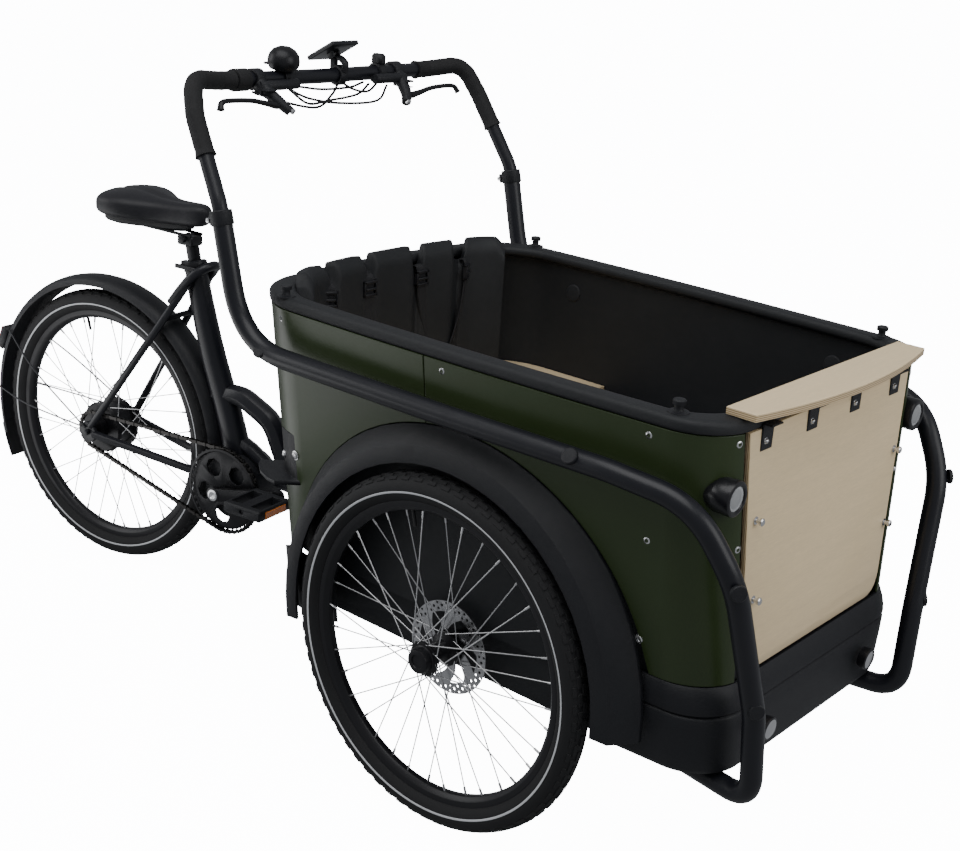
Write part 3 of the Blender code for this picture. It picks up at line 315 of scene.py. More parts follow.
# plywood: long streaks across the sheet, and dark glue lines on the cut edges
def plyLook(name, sheetAxis, grainAxis):
    look = Look(name, "plywood", finishes["plyColour"], 0.42, coat=0.1)
    stretch = [14.0, 14.0, 14.0]
    stretch[grainAxis] = 1.0
    streak = look.noise(7, 6, 0.65, stretch)
    fibre = look.noise(60, 3, 0.6, stretch)
    face = look.mix(streak, [c * 0.86 for c in finishes["plyColour"]],
                    [min(1, c * 1.06) for c in finishes["plyColour"]])
    face = look.mix(fibre * 0.35, face, finishes["plyDark"])
    normal = look.parts(look.node("ShaderNodeNewGeometry", {}, "Normal"))[sheetAxis]
    edge = normal.maths("ABSOLUTE") < 0.6
    place = look.parts()[sheetAxis]
    layer = (place * (2 * pi / 0.0028)).maths("SINE") * 0.5 + 0.5
    glue = look.mix(layer, finishes["plyDark"], [c * 0.80 for c in finishes["plyColour"]])
    look.set("Base Color", look.mix(edge, face, glue))
    look.bump(fibre, 0.12, 0.0006)
    return look


frontPlyLook = plyLook("frontPlywood", 0, 1)
shelfPlyLook = plyLook("shelfPlywood", 2, 1)

# webbing: two crossed rows of ribs, height = |sin y| + 0.6 |sin z|
webLook = Look("strapWebbing", "webbing", (0.012, 0.012, 0.014), 0.80)
webParts = webLook.parts()
ribsAcross = (webParts[1] * 1800).maths("SINE").maths("ABSOLUTE")
ribsAlong = (webParts[2] * 1300).maths("SINE").maths("ABSOLUTE")
weave = ribsAcross + ribsAlong * 0.6
webLook.bump(weave, 0.6, 0.0006)

print("frame pieces that stay")
cadLooks = {
    "tub_plastic": tubLook, "box_panel": panelLook, "frame_black": frameLook, "black_plastic": plasticLook,
    "plywood": frontPlyLook, "tyre": tyreLook, "rim": rimLook, "hub": hubLook, "rotor": hubLook,
    "grip": gripLook, "saddle": saddleLook, "webbing": webLook, "padding": tubLook,
    "bright_alloy": darkAlloyLook, "chain_steel": chainLook, "lamp": lampLook, "display": displayLook}
ownLooks = {"seat_board": shelfPlyLook, "seat_post": darkAlloyLook, "chainring": darkAlloyLook,
            "pedal_right": plasticLook, "pedal_left": plasticLook}
bevelWidths = {"front_board": 0.0012, "seat_board": 0.0015, "display": 0.0015, "wheel_arch_right": 0.0012,
               "wheel_arch_left": 0.0012}
slotOf = {s["node"]: s["material_slot"] for s in frame["record"]["subparts"]}
for name, node in frame["nodes"].items():
    look = ownLooks.get(name, cadLooks[slotOf[name]])
    node.data.materials.clear()
    node.data.materials.append(look.mat)
    node.data.polygons.foreach_set("use_smooth", [True] * len(node.data.polygons))
    weld = node.modifiers.new("weld", "WELD")
    weld.merge_threshold = 0.00002
    edge = node.modifiers.new("edge", "BEVEL")
    edge.width = bevelWidths.get(name, 0.0008)
    edge.segments = 2
    edge.limit_method = "ANGLE"
    edge.angle_limit = radians(32)
    edge.harden_normals = True

# the box's plan: a point at station s and height z; stations 2-8 and 16-22 are the corner arcs
box = {"rim": 0.805, "front": 0.446, "rear": -0.500, "half": 0.346, "frontLean": 3.0, "rearLean": 4.0,
       "sideLean": 4.2, "frontCorner": 0.085, "rearCorner": 0.130, "seam": 12.76,
       "archRadius": 0.3772, "panelTop": 0.784, "panelBottom": 0.395, "rearPanelBottom": 0.337}


def planAt(s, z, inset, side=1):
    s, z = np.broadcast_arrays(np.asarray(s, float), np.asarray(z, float))
    drop = box["rim"] - z
    front = box["front"] + drop * tan(radians(box["frontLean"])) - inset
    rear = box["rear"] + drop * tan(radians(box["rearLean"])) + inset
    wide = box["half"] - drop * tan(radians(box["sideLean"])) - inset
    sideFront, sideRear, rf, rr = wide - 0.020, wide - 0.004, box["frontCorner"], box["rearCorner"]
    a1 = np.clip((s - 2) / 6, 0, 1) * pi / 2
    a2 = np.clip((s - 16) / 6, 0, 1) * pi / 2
    t = np.clip((s - 8) / 8, 0, 1)
    x1, y1 = front - rf * (1 - np.cos(a1)), sideFront - rf * (1 - np.sin(a1))
    x0, y0 = front, (sideFront - rf) * np.clip(s / 2, 0, 1)
    x2 = (front - rf) + (rear + rr - front + rf) * t
    y2 = sideFront + (sideRear - sideFront) * t + 0.028 * t * (1 - t)
    x3, y3 = rear + rr * (1 - np.sin(a2)), sideRear - rr * (1 - np.cos(a2))
    u = np.clip((24 - s) / 2, 0, 1)
    x4, y4 = rear - 0.014 * (1 - u * u), (sideRear - rr) * u
    x = np.select([s < 2, s < 8, s < 16, s < 22], [x0, x1, x2, x3], x4)
    y = np.select([s < 2, s < 8, s < 16, s < 22], [y0, y1, y2, y3], y4)
    return np.stack([x, side * y, z], -1)


print("box")
stationRound = np.concatenate([np.linspace(0, 2, 6)[:-1], np.linspace(2, 8, 19)[:-1],
                               np.linspace(8, 16, 49)[:-1], np.linspace(16, 22, 25)[:-1],
                               np.linspace(22, 24, 9)])
tubValues = {"sections": [(0.339, 0.0065), (0.784, 0.0065), (0.7848, 0.002), (0.7852, -0.0025),
                          (0.7866, -0.0042), (0.790, -0.0045), (0.798, -0.0043), (0.8015, -0.003),
                          (0.804, 0.0), (0.805, 0.004), (0.805, 0.020), (0.8042, 0.0245), (0.802, 0.0272),
                          (0.798, 0.0284), (0.792, 0.0283), (0.7885, 0.0265), (0.785, 0.020), (0.782, 0.0140),
                          (0.776, 0.0125), (0.600, 0.0125), (0.400, 0.0125), (0.372, 0.0135), (0.357, 0.0185),
                          (0.348, 0.0275), (0.345, 0.040)]}
loopRows = []
for z, inset in tubValues["sections"]:
    left = planAt(stationRound, z, inset)
    right = planAt(stationRound[1:-1][::-1], z, inset, -1)
    loopRows.append(onBox(np.concatenate([left, right])))
build("tubLiner", gridShape(np.array(loopRows), wrapV=True, capU=True), tubLook, "cargo_box", 50, ["tub"])

for side, word in ((-1, "right"), (1, "left")):
    for part, first, last, low in (("front", 2.7, box["seam"] - 0.010, box["panelBottom"]),
                                   ("rear", box["seam"] + 0.010, 22.0, box["rearPanelBottom"])):
        s = np.linspace(first, last, 150)
        bottom = np.full(len(s), low)
        for _ in range(4):   # lower edge = the wheel opening's circle, or the panel's own low line
            x = planAt(s, bottom, 0)[:, 0]
            arch = wheelRadius + np.sqrt(np.maximum(box["archRadius"] ** 2 - x ** 2, 0))
            bottom = np.where(np.abs(x) < box["archRadius"], np.maximum(low, arch), low)
        v = np.linspace(0, 1, 36)[:, None]
        z = bottom + (box["panelTop"] - bottom) * v
        points = onBox(planAt(np.broadcast_to(s, z.shape), z, 0.0, side))
        panel = build(f"{part}Panel_{word}", gridShape(points), panelLook, "cargo_box", 60,
                      [f"{part}_panel_{word}"])
        depth = panel.modifiers.new("depth", "SOLIDIFY")
        depth.thickness, depth.offset = 0.004, 1.0 if side < 0 else -1.0
        depth.use_even_offset = True
        edge = panel.modifiers.new("edge", "BEVEL")
        edge.width, edge.segments, edge.limit_method, edge.harden_normals = 0.0012, 2, "ANGLE", True

print("rails and handlebar")
bar = {"railRadius": 0.017, "barRadius": 0.0135, "gripRadius": 0.0160}
railPoints = [(-0.508, 0.379, 0.923), (-0.455, 0.376, 0.713), (0.000, 0.369, 0.711), (0.300, 0.362, 0.712),
              (0.440, 0.352, 0.700), (0.503, 0.323, 0.592), (0.524, 0.258, 0.377), (0.530, 0.242, 0.228),
              (0.350, 0.213, 0.2285)]
socketAxis = unit(np.array([-0.508, 0, 0.923]) - np.array([-0.476, 0, 0.800]))
mirrored = lambda points, side: np.array(points, float) * np.array([1, side, 1])


def barAt(y):
    share = abs(y) / 0.26
    return np.array([-0.668 + 0.013 * share, y, 1.118 + 0.004 * share])


socketTop = np.array([-0.508, 0.379, 0.923])
halfBar = [socketTop - socketAxis * 0.098, socketTop + socketAxis * 0.020, (-0.596, 0.364, 1.075),
           (-0.628, 0.345, 1.132), (-0.655, 0.260, 1.122), (-0.668, 0.0, 1.118)]
halfPath = rounded(halfBar, [0, 0.10, 0.10, 0.045, 0.10, 0], 10)
for side, word in ((-1, "right"), (1, "left")):
    path = rounded(mirrored(railPoints, side), [0, 0.19, 0.3, 0.3, 0.13, 0.20, 0.18, 0.045, 0], 18)
    build(f"sideRail_{word}", sweep(onBox(path), bar["railRadius"], 28), frameLook, "cargo_box", 40,
          [f"side_rail_{word}"])
    top = mirrored([socketTop], side)[0]
    collarSection = [(0.0160, 0.0115), (0.0178, 0.0115), (0.0190, 0.010), (0.0195, -0.012), (0.0185, -0.014),
                     (0.0170, -0.014)]
    collar = lathe(collarSection, onBox(top), socketAxis, 40)
    ears = block((-0.006, -0.029, -0.012), (0.006, -0.016, 0.006), 0.002)
    turn = towards(socketAxis, (1, 0, 0))
    bolt = lathe([(0, 0.013), (0.004, 0.0125), (0.0045, 0.008), (0.0045, -0.012), (0, -0.012)],
                 onBox(top) + turn @ np.array([0, -0.0235, -0.003]), turn[:, 0], 16)
    build(f"railCollar_{word}", joined([collar, moved(ears, turn, onBox(top))]), plasticLook, "cargo_box")
    build(f"railCollarBolt_{word}", bolt, screwLook, "cargo_box")
fullPath = np.concatenate([mirrored(halfPath, -1), mirrored(halfPath[::-1], 1)[1:]])
build("handlebarTube", sweep(onBox(fullPath), bar["barRadius"], 28), frameLook, "handlebar", 40,
      ["handlebar"])
for side, word in ((-1, "right"), (1, "left")):
    inSleeve = [p for p in halfPath if p[2] > 1.02 and p[1] > 0.262]
    start = np.array(halfBar[1]) * 0.45 + np.array(halfBar[2]) * 0.55
    path = mirrored([start] + inSleeve + [barAt(0.235)], side)
    path = curveThrough(path, 6)
    along = np.r_[0, np.cumsum(np.linalg.norm(np.diff(path, axis=0), axis=1))]
    # a wound grip: small steps once every turn of the strip, and a lip at each end
    winding = 0.00055 * np.abs(((along / 0.021) % 1) - 0.5) * 2
    lip = 0.0016 * np.exp(-(along / 0.004) ** 2) + 0.0016 * np.exp(-((along[-1] - along) / 0.004) ** 2)
    build(f"grip_{word}_wound", sweep(onBox(path), bar["gripRadius"] + winding + lip, 28), gripLook,
          "handlebar", 60, [f"grip_{word}"])

print("wheels")
wheel = {"spokes": 36, "spokeRadius": 0.0011, "spokeEnd": 0.2405, "treadBlocks": 66}
tyreSection = bothHalves([(0.2568, -0.0120), (0.2590, -0.0148), (0.2640, -0.0195), (0.2700, -0.0228),
                          (0.2770, -0.0242), (0.2840, -0.0238), (0.2900, -0.0212), (0.2950, -0.0165),
                          (0.2982, -0.0105), (0.2996, -0.0045), (0.2998, 0.0)])
crown = np.array(tyreSection[10:15])
rimSection = bothHalves([(0.2400, -0.0050), (0.2410, -0.0062), (0.2470, -0.0122), (0.2485, -0.0128),
                         (0.2570, -0.0130), (0.2578, -0.0122)])
frontHub = [(0.0080, -0.0300), (0.0230, -0.0300), (0.0230, -0.0265), (0.0290, -0.0255), (0.0290, -0.0222),
            (0.0250, -0.0214), (0.0175, -0.0180), (0.0160, -0.010), (0.0160, 0.0150), (0.0178, 0.0215),
            (0.0270, 0.0245), (0.0292, 0.0255), (0.0290, 0.0288), (0.0230, 0.0296), (0.0215, 0.0310),
            (0.0213, 0.0400), (0.0200, 0.0436), (0.0170, 0.0446), (0.0120, 0.0446), (0.0110, 0.0425),
            (0.0, 0.0422)]
rearHub = [(0.0065, -0.0420), (0.0400, -0.0420), (0.0480, -0.0340), (0.0560, -0.0262), (0.0560, -0.0230),
           (0.0470, -0.0205), (0.0455, -0.0120), (0.0455, 0.0120), (0.0470, 0.0205), (0.0560, 0.0230),
           (0.0560, 0.0262), (0.0515, 0.0302), (0.0240, 0.0325), (0.0230, 0.0480), (0.0065, 0.0545)]
# wheel local frame: columns are forward, up and outward
wheelPlaces = {}
for side, word in ((-1, "right"), (1, "left")):
    wheelPlaces[f"front_{word}"] = (onBox([0, side * trackHalf, wheelRadius]),
                                    np.array([[1, 0, 0], [0, 0, side], [0, 1, 0]], float),
                                    f"front_wheel_{word}", frontHub, (0.0272, -0.0239), 0.026)
rearCentre = onRear([rearAxleX, 0, wheelRadius])
outward = onRear([rearAxleX, -1, wheelRadius]) - rearCentre
forward = onRear([rearAxleX + 1, 0, wheelRadius]) - rearCentre
wheelPlaces["rear"] = (rearCentre, np.stack([forward, np.array([0, 0, 1.0]), outward], -1),
                       "rear_wheel", rearHub, (0.0246, -0.0246), 0.053)

for word, (centre, turn, body, hubProfile, flanges, flangeRadius) in wheelPlaces.items():
    outwardAxis = turn[:, 2]
    atAngle = lambda a: np.stack([np.cos(a), np.sin(a), 0 * a], -1)
    local = lambda points: np.asarray(points) @ turn.T + centre

    build(f"{word}_tyreBody", lathe(tyreSection, centre, outwardAxis, 144, closed=True), tyreLook, body, 60,
          [f"{word}_tyre"])
    ring = [lathe([(0.2716, s * 0.0236), (0.2722, s * 0.0241), (0.2744, s * 0.0246), (0.2750, s * 0.0244)],
                  centre, outwardAxis, 144) for s in (-1, 1)]
    build(f"{word}_tyreStrip", joined(ring), ringLook, body, 60)
    # tread: a row of centre blocks and two staggered rows at each shoulder, from the crown line down the side
    treads, count = [], wheel["treadBlocks"]
    for row, (mid, halfWide, halfLong, depth, lean) in enumerate(((0.0, 0.0048, 0.0100, 0.0022, 0.35),
                                                                  (0.0102, 0.0036, 0.0105, 0.0022, -0.3),
                                                                  (0.0168, 0.0026, 0.0088, 0.0020, 0.0))):
        for sideways in ((1,) if row == 0 else (1, -1)):
            for k in range(count):
                angle = 2 * pi * (k + 0.5 * (row % 2) + (0.25 if sideways < 0 else 0)) / count
                corners = []
                for up in (-0.0012, depth):
                    for da, dw in ((-1, -1), (1, -1), (1, 1), (-1, 1)):
                        shrink = 1 if up < 0 else 0.86
                        w = sideways * (mid + dw * halfWide * shrink)
                        r = np.interp(abs(w), crown[:, 1], crown[:, 0])
                        a = angle + (da * halfLong * shrink + lean * sideways * dw * halfWide) / 0.300
                        rr = r + up * (1 if mid < 0.015 else 0.8)
                        corners.append((rr * cos(a), rr * sin(a),
                                        w + (up * 0.5 * np.sign(w) if mid > 0.015 else 0)))
                treads.append((np.array(corners), [[0, 1, 2, 3], [7, 6, 5, 4], [0, 4, 5, 1], [1, 5, 6, 2],
                                                   [2, 6, 7, 3], [3, 7, 4, 0]]))
    build(f"{word}_tread", moved(joined(treads), turn, centre), tyreLook, body, 20)
    build(f"{word}_rimHoop", lathe(rimSection, centre, outwardAxis, 144, closed=True), rimLook, body, 40,
          [f"{word}_rim"])
    # spokes: each leaves its flange nearly tangent, so that it crosses its neighbours on the way to the rim
    spokes, nipples = [], []
    for k in range(wheel["spokes"]):
        index, leaning = k % 2, 1 if (k // 2) % 2 else -1
        rimAngle = 2 * pi * k / wheel["spokes"]
        cross = radians(62) if flangeRadius < 0.04 else radians(48)
        flangeAngle = rimAngle + leaning * cross
        start = atAngle(np.array(flangeAngle)) * flangeRadius + [0, 0, flanges[index] + 0.0012 * leaning]
        end = atAngle(np.array(rimAngle)) * wheel["spokeEnd"] + [0, 0, 0.0025 * (1 - 2 * index)]
        spokes.append(sweep(local([start, start * 0.5 + end * 0.5, end]), wheel["spokeRadius"], 8))
        toHub = start - end
        nipples.append(sweep(local([end, end + unit(toHub) * 0.012]), 0.0021, 8))
    build(f"{word}_hubShell", lathe(hubProfile, centre, outwardAxis, 56), darkAlloyLook, body, 35,
          [f"{word}_hub"])
    build(f"{word}_spokes", joined(spokes + nipples), hubLook, body, 60)
    if word != "rear":
        # disc: a ring with rows of drilled holes and open spider arms, cut by alpha = mask(radius, angle)
        disc = Look(f"{word}_discSteel", "rotor", (0.50, 0.50, 0.51), 0.26, metal=1.0, vary=0.05,
                    grain=(600, 0.08))
        offset = disc.node("ShaderNodeVectorMath", {0: disc.place, 1: tuple(centre)}, operation="SUBTRACT")
        dx, _, dz = disc.parts(offset)
        radius = (dx * dx + dz * dz).maths("SQRT")
        angle = dz.maths("ARCTAN2", dx)
        swirl = angle + (radius - 0.02) * 16.0
        arms = ((swirl * 3.0).maths("COSINE").maths("ABSOLUTE")) < 0.72
        holes = None
        for ringRadius, number, phase, size in ((0.0665, 24, 0.0, 0.0024), (0.0715, 24, 0.5, 0.0026),
                                                (0.0765, 24, 0.0, 0.0022)):
            pitch = 2 * pi * ringRadius / number
            cell = ((angle * (number / (2 * pi)) + phase + 60).maths("FRACT") - 0.5) * pitch
            far = (cell * cell + (radius - ringRadius) * (radius - ringRadius)).maths("SQRT")
            hit = far < size
            holes = hit if holes is None else holes.maths("MAXIMUM", hit)
        window = arms.maths("MULTIPLY", radius > 0.026).maths("MULTIPLY", radius < 0.0615)
        disc.set("Alpha", 1.0 - holes.maths("MAXIMUM", window))
        discShape = lathe([(0.0150, -0.0322), (0.0800, -0.0322), (0.0800, -0.0304), (0.0150, -0.0304)],
                          centre, outwardAxis, 96, closed=True)
        build(f"{word}_discRing", discShape, disc, body, 35, [f"rotor_{word.split('_')[1]}"])
    valve = sweep(local([atAngle(np.array(1.85)) * 0.243, atAngle(np.array(1.85)) * 0.212]), 0.0030, 12)
    build(f"{word}_valve", valve, cableLook, body)

print("saddle")
# (x, half width, low, high)
saddleSections = [(-1.212, 0.028, 0.800, 0.822), (-1.208, 0.045, 0.793, 0.830), (-1.198, 0.066, 0.786, 0.839),
                  (-1.180, 0.081, 0.783, 0.846), (-1.150, 0.0885, 0.782, 0.8495),
                  (-1.120, 0.085, 0.782, 0.849), (-1.090, 0.071, 0.782, 0.8455),
                  (-1.060, 0.053, 0.782, 0.8415), (-1.025, 0.039, 0.783, 0.8395),
                  (-0.985, 0.031, 0.785, 0.840), (-0.955, 0.0265, 0.787, 0.841),
                  (-0.936, 0.021, 0.791, 0.839), (-0.926, 0.014, 0.798, 0.834), (-0.922, 0.006, 0.806, 0.827)]
# the cushion's size as a share of its drawn outline, measured from the nose
cushion = {"nose": -0.922, "length": 0.90, "width": 0.97, "height": 0.88}
sections = curveThrough(np.array([(cushion["nose"] + (x - cushion["nose"]) * cushion["length"],
                                   half * cushion["width"], low, low + (high - low) * cushion["height"])
                                  for x, half, low, high in saddleSections]), 8)
angle = np.linspace(0, 2 * pi, 48, endpoint=False)
rows = []
for x, half, low, high in sections:
    # superellipse: flat cushion on top, thin skirt below, and a shallow channel along the middle
    c, s = np.cos(angle), np.sin(angle)
    y = half * np.sign(c) * np.abs(c) ** 0.85
    lift = np.sign(s) * np.abs(s) ** 0.62
    z = (low + high) / 2 + (high - low) / 2 * lift
    fade = np.clip((x + 1.20) / 0.02, 0, 1) * np.clip((-0.96 - x) / 0.03, 0, 1)
    groove = 0.0035 * np.exp(-(y / 0.008) ** 2) * (s > 0) * fade
    rows.append(np.stack([np.full_like(y, x), y, z - groove], -1))
saddle = build("saddlePad", gridShape(onRear(np.array(rows)), wrapV=True, capU=True), saddleLook, "seat_post",
               60, ["saddle"])

print("lamps and lights")
for side, word in ((-1, "right"), (1, "left")):
    centre = onBox([0.436, side * 0.281, 0.698])
    lens = lathe([(0.0, 0.0292), (0.010, 0.0288), (0.0165, 0.0277), (0.0184, 0.0266)], centre, (1, 0, 0), 40)
    bezel = lathe([(0.0182, 0.0262), (0.0190, 0.0284), (0.0206, 0.0290), (0.0240, 0.0290), (0.0262, 0.0278),
                   (0.0270, 0.0255), (0.0270, 0.0180)], centre, (1, 0, 0), 40)
    bowl = lathe([(0.0184, 0.0265), (0.0120, 0.0256), (0.0050, 0.0252), (0.0, 0.0252)], centre, (1, 0, 0), 40)
    build(f"headlampLens_{word}", lens, lensLook, "cargo_box")
    build(f"headlampBezel_{word}", bezel, lampLook, "cargo_box")
    build(f"headlampBowl_{word}", bowl, alloyLook, "cargo_box")
    low, lowAxis = onBox([0.4985, side * 0.161, 0.306]), (1, 0, -0.05)
    housing = lathe([(0.0, -0.008), (0.017, -0.008), (0.0185, 0.0), (0.0185, 0.006), (0.0160, 0.0075)],
                    low, lowAxis, 36)
    cover = lathe([(0.0160, 0.0072), (0.0120, 0.0092), (0.0060, 0.0100), (0.0, 0.0102)], low, lowAxis, 36)
    build(f"lowLampBody_{word}", housing, lampLook, "cargo_box")
    build(f"lowLampLens_{word}", cover, alloyLook, "cargo_box")

print("top shelf")
shelf = {"half": 0.262, "back": 0.418, "front": 0.466, "bow": 0.030, "low": 0.8058, "high": 0.8178,
         "ease": 0.0012}
rows = []
for inset, z in ((shelf["ease"], shelf["low"]), (0.0, shelf["low"] + shelf["ease"]),
                 (0.0, shelf["high"] - shelf["ease"]), (shelf["ease"], shelf["high"])):
    y = np.linspace(-1, 1, 41) * (shelf["half"] - inset)
    bow = shelf["front"] - inset + shelf["bow"] * (1 - (y / shelf["half"]) ** 2)
    ends = [[shelf["back"] + inset, shelf["half"] - inset, z],
            [shelf["back"] + inset, inset - shelf["half"], z]]
    rows.append(onBox(np.concatenate([np.stack([bow, y, np.full(41, z)], -1), ends])))
build("topShelf", gridShape(np.array(rows), wrapV=True, capU=True), shelfPlyLook, "cargo_box", 30,
      ["top_shelf"])

print("front skirt")
skirtSection = [(0.3940, 0.0010), (0.3938, -0.0030), (0.3900, -0.0060), (0.3760, -0.0100), (0.3640, -0.0122),
                (0.3560, -0.0128), (0.3530, -0.0124), (0.3515, -0.0090), (0.3490, -0.0088), (0.3475, -0.0110),
                (0.3440, -0.0128), (0.3200, -0.0120), (0.2800, -0.0096), (0.2580, -0.0080), (0.2510, -0.0060),
                (0.2480, -0.0020), (0.2480, 0.0030), (0.2560, 0.0040), (0.3900, 0.0040)]
around = np.concatenate([np.linspace(9.3, 8, 8)[:-1], np.linspace(8, 2, 31)[:-1], np.linspace(2, 0, 9)])
rows = []
for z, inset in skirtSection:
    left, right = planAt(around, z, inset), planAt(around[:-1][::-1], z, inset, -1)
    rows.append(onBox(np.concatenate([left, right])))
build("frontSkirt", gridShape(np.array(rows).transpose(1, 0, 2), wrapV=True, capU=True), plasticLook,
      "cargo_box", 40, ["front_skirt"])

print("backrest and straps")
back = {"low": 0.5735, "high": 0.826, "outer": 0.0285, "thick": 0.0215, "first": 18.9,
        "straps": (-0.185, -0.070, 0.070, 0.185)}
stationLine = np.concatenate([np.linspace(back["first"], 22, 90)[:-1], np.linspace(22, 24, 70)])
whole = np.concatenate([planAt(stationLine, 0.8, back["outer"]),
                        planAt(stationLine[:-1][::-1], 0.8, back["outer"], -1)])
sideways = whole[:, 1]
# top line: full height, with a rounded notch at each strap and rounded shoulders at both ends
notch = np.zeros(len(whole))
for y in back["straps"]:
    notch = np.maximum(notch, 1 / (1 + np.exp((np.abs(sideways - y) - 0.0135) / 0.0016)))
run = np.r_[0, np.cumsum(np.linalg.norm(np.diff(whole, axis=0), axis=1))]
ends = np.minimum(run, run[-1] - run)
shoulder = 0.022 * np.clip(1 - ends / 0.022, 0, 1) ** 2
topLine = back["high"] - 0.040 * notch - shoulder
crease = np.exp(-(np.minimum.reduce([np.abs(sideways - y) for y in back["straps"]]) / 0.010) ** 2)


def backRow(z, inset):
    # one level of the backrest: along its left half, then along the right
    half, inset = len(stationLine), np.broadcast_to(inset, z.shape)
    left = planAt(stationLine, z[:half], inset[:half])
    right = planAt(stationLine[:-1][::-1], z[half:], inset[half:], -1)
    return onBox(np.concatenate([left, right]))


rows = []
for share in np.linspace(0, 1, 26):      # front face, fading into the rolled top, then the back face
    z = back["low"] + (topLine - back["low"]) * share
    roll = 0.010 * np.clip((share - 0.9) / 0.1, 0, 1) ** 2
    inset = back["outer"] + back["thick"] - roll - 0.006 * crease - 0.004 * (1 - share)
    rows.append(backRow(z, inset))
for share in np.linspace(1, 0, 8):
    z = back["low"] + (topLine - back["low"]) * share - (0.002 if share == 1 else 0)
    rows.append(backRow(z, back["outer"]))
build("backrestShell", gridShape(np.array(rows).transpose(1, 0, 2), wrapV=True, capU=True), tubLook,
      "cargo_box", 60, ["backrest"])


def ribbon(path, across, width, thick):
    # a flat strap: four corners carried along the path
    path, across = np.asarray(path, float), unit(across)
    along = unit(np.gradient(path, axis=0))
    up = unit(np.cross(along, across))
    corners = [(-1, -1), (-0.9, 1), (0.9, 1), (1, -1)]
    edges = [path + across * (a * width / 2) + up * (b * thick / 2) for a, b in corners]
    return gridShape(np.stack(edges, 1), wrapV=True, capU=True)


faceLine = planAt(stationLine, 0.76, back["outer"] + back["thick"] - 0.006)


def onBack(y, z, lift):
    # a place on the backrest's front face, lift metres in front of it
    order = np.argsort(faceLine[:, 1])
    x = np.interp(abs(y), faceLine[order, 1], faceLine[order, 0])
    return np.array([x + lift + (0.80 - z) * 0.02, y, z])


for side, word in ((-1, "right"), (1, "left")):
    straps, buckles = [], []
    middle = side * 0.128
    for place in (0.185, 0.070):
        y = side * place
        lean = 0.55 * side if place > 0.1 else 0.0
        across = unit((-lean, 1, 0))
        path = curveThrough([onBack(y, 0.786, -0.012), onBack(y, 0.7885, -0.003), onBack(y, 0.783, 0.0035),
                             onBack(y, 0.760, 0.0045), onBack(y * 0.85 + middle * 0.15, 0.700, 0.006),
                             onBack((y + middle) / 2, 0.640, 0.007),
                             onBack(middle * 0.9 + y * 0.1, 0.598, 0.008)], 8)
        straps.append(ribbon(onBox(path), across, 0.024, 0.0022))
        turn = np.stack([np.cross(across, [0, 0, 1]), across, [0, 0, 1]], -1)
        for low, high in (((-0.0045, -0.0165, 0.0), (0.0045, -0.0120, 0.030)),
                          ((-0.0045, 0.0120, 0.0), (0.0045, 0.0165, 0.030)),
                          ((-0.0045, -0.0165, 0.0), (0.0045, 0.0165, 0.0055)),
                          ((-0.0045, -0.0165, 0.0245), (0.0045, 0.0165, 0.030)),
                          ((-0.0030, -0.0120, 0.0120), (0.0060, 0.0120, 0.0165))):
            buckles.append(moved(block(low, high, 0.0012), turn, onBox(onBack(y, 0.750, 0.0055))))
    build(f"harnessStraps_{word}", joined(straps), webLook, "cargo_box", 50, [f"harness_{word}"])
    buckles.append(block(onBox(onBack(middle, 0.5735, 0.004)) - [0, 0.021, 0],
                         onBox(onBack(middle, 0.612, 0.016)) + [0, 0.021, 0], 0.004))
    build(f"harnessBuckles_{word}", joined(buckles), plasticLook, "cargo_box", 40)

print("small fittings on the box")


def onPanel(s, z, side, lift=0.0):
    # place and outward direction on the box's skin
    p = planAt(s, z, 0.0, side)
    ds, dz = planAt(s + 0.05, z, 0.0, side) - p, planAt(s, z + 0.004, 0.0, side) - p
    n = unit(np.cross(ds, dz)) * side
    n = n if n @ (p - np.array([-0.03, 0, p[2]])) > 0 else -n
    return onBox(p + n * lift), n


def screw(place, axis, size=0.0068):
    # a domed head with a hex recess, and the washer under it
    head = [(size * 1.25, 0.0), (size * 1.25, 0.0009), (size, 0.0010), (size * 0.97, 0.0024),
            (size * 0.75, 0.0040), (size * 0.45, 0.0046), (size * 0.42, 0.0030), (0.0, 0.0029)]
    return lathe(head, place, axis, 20)


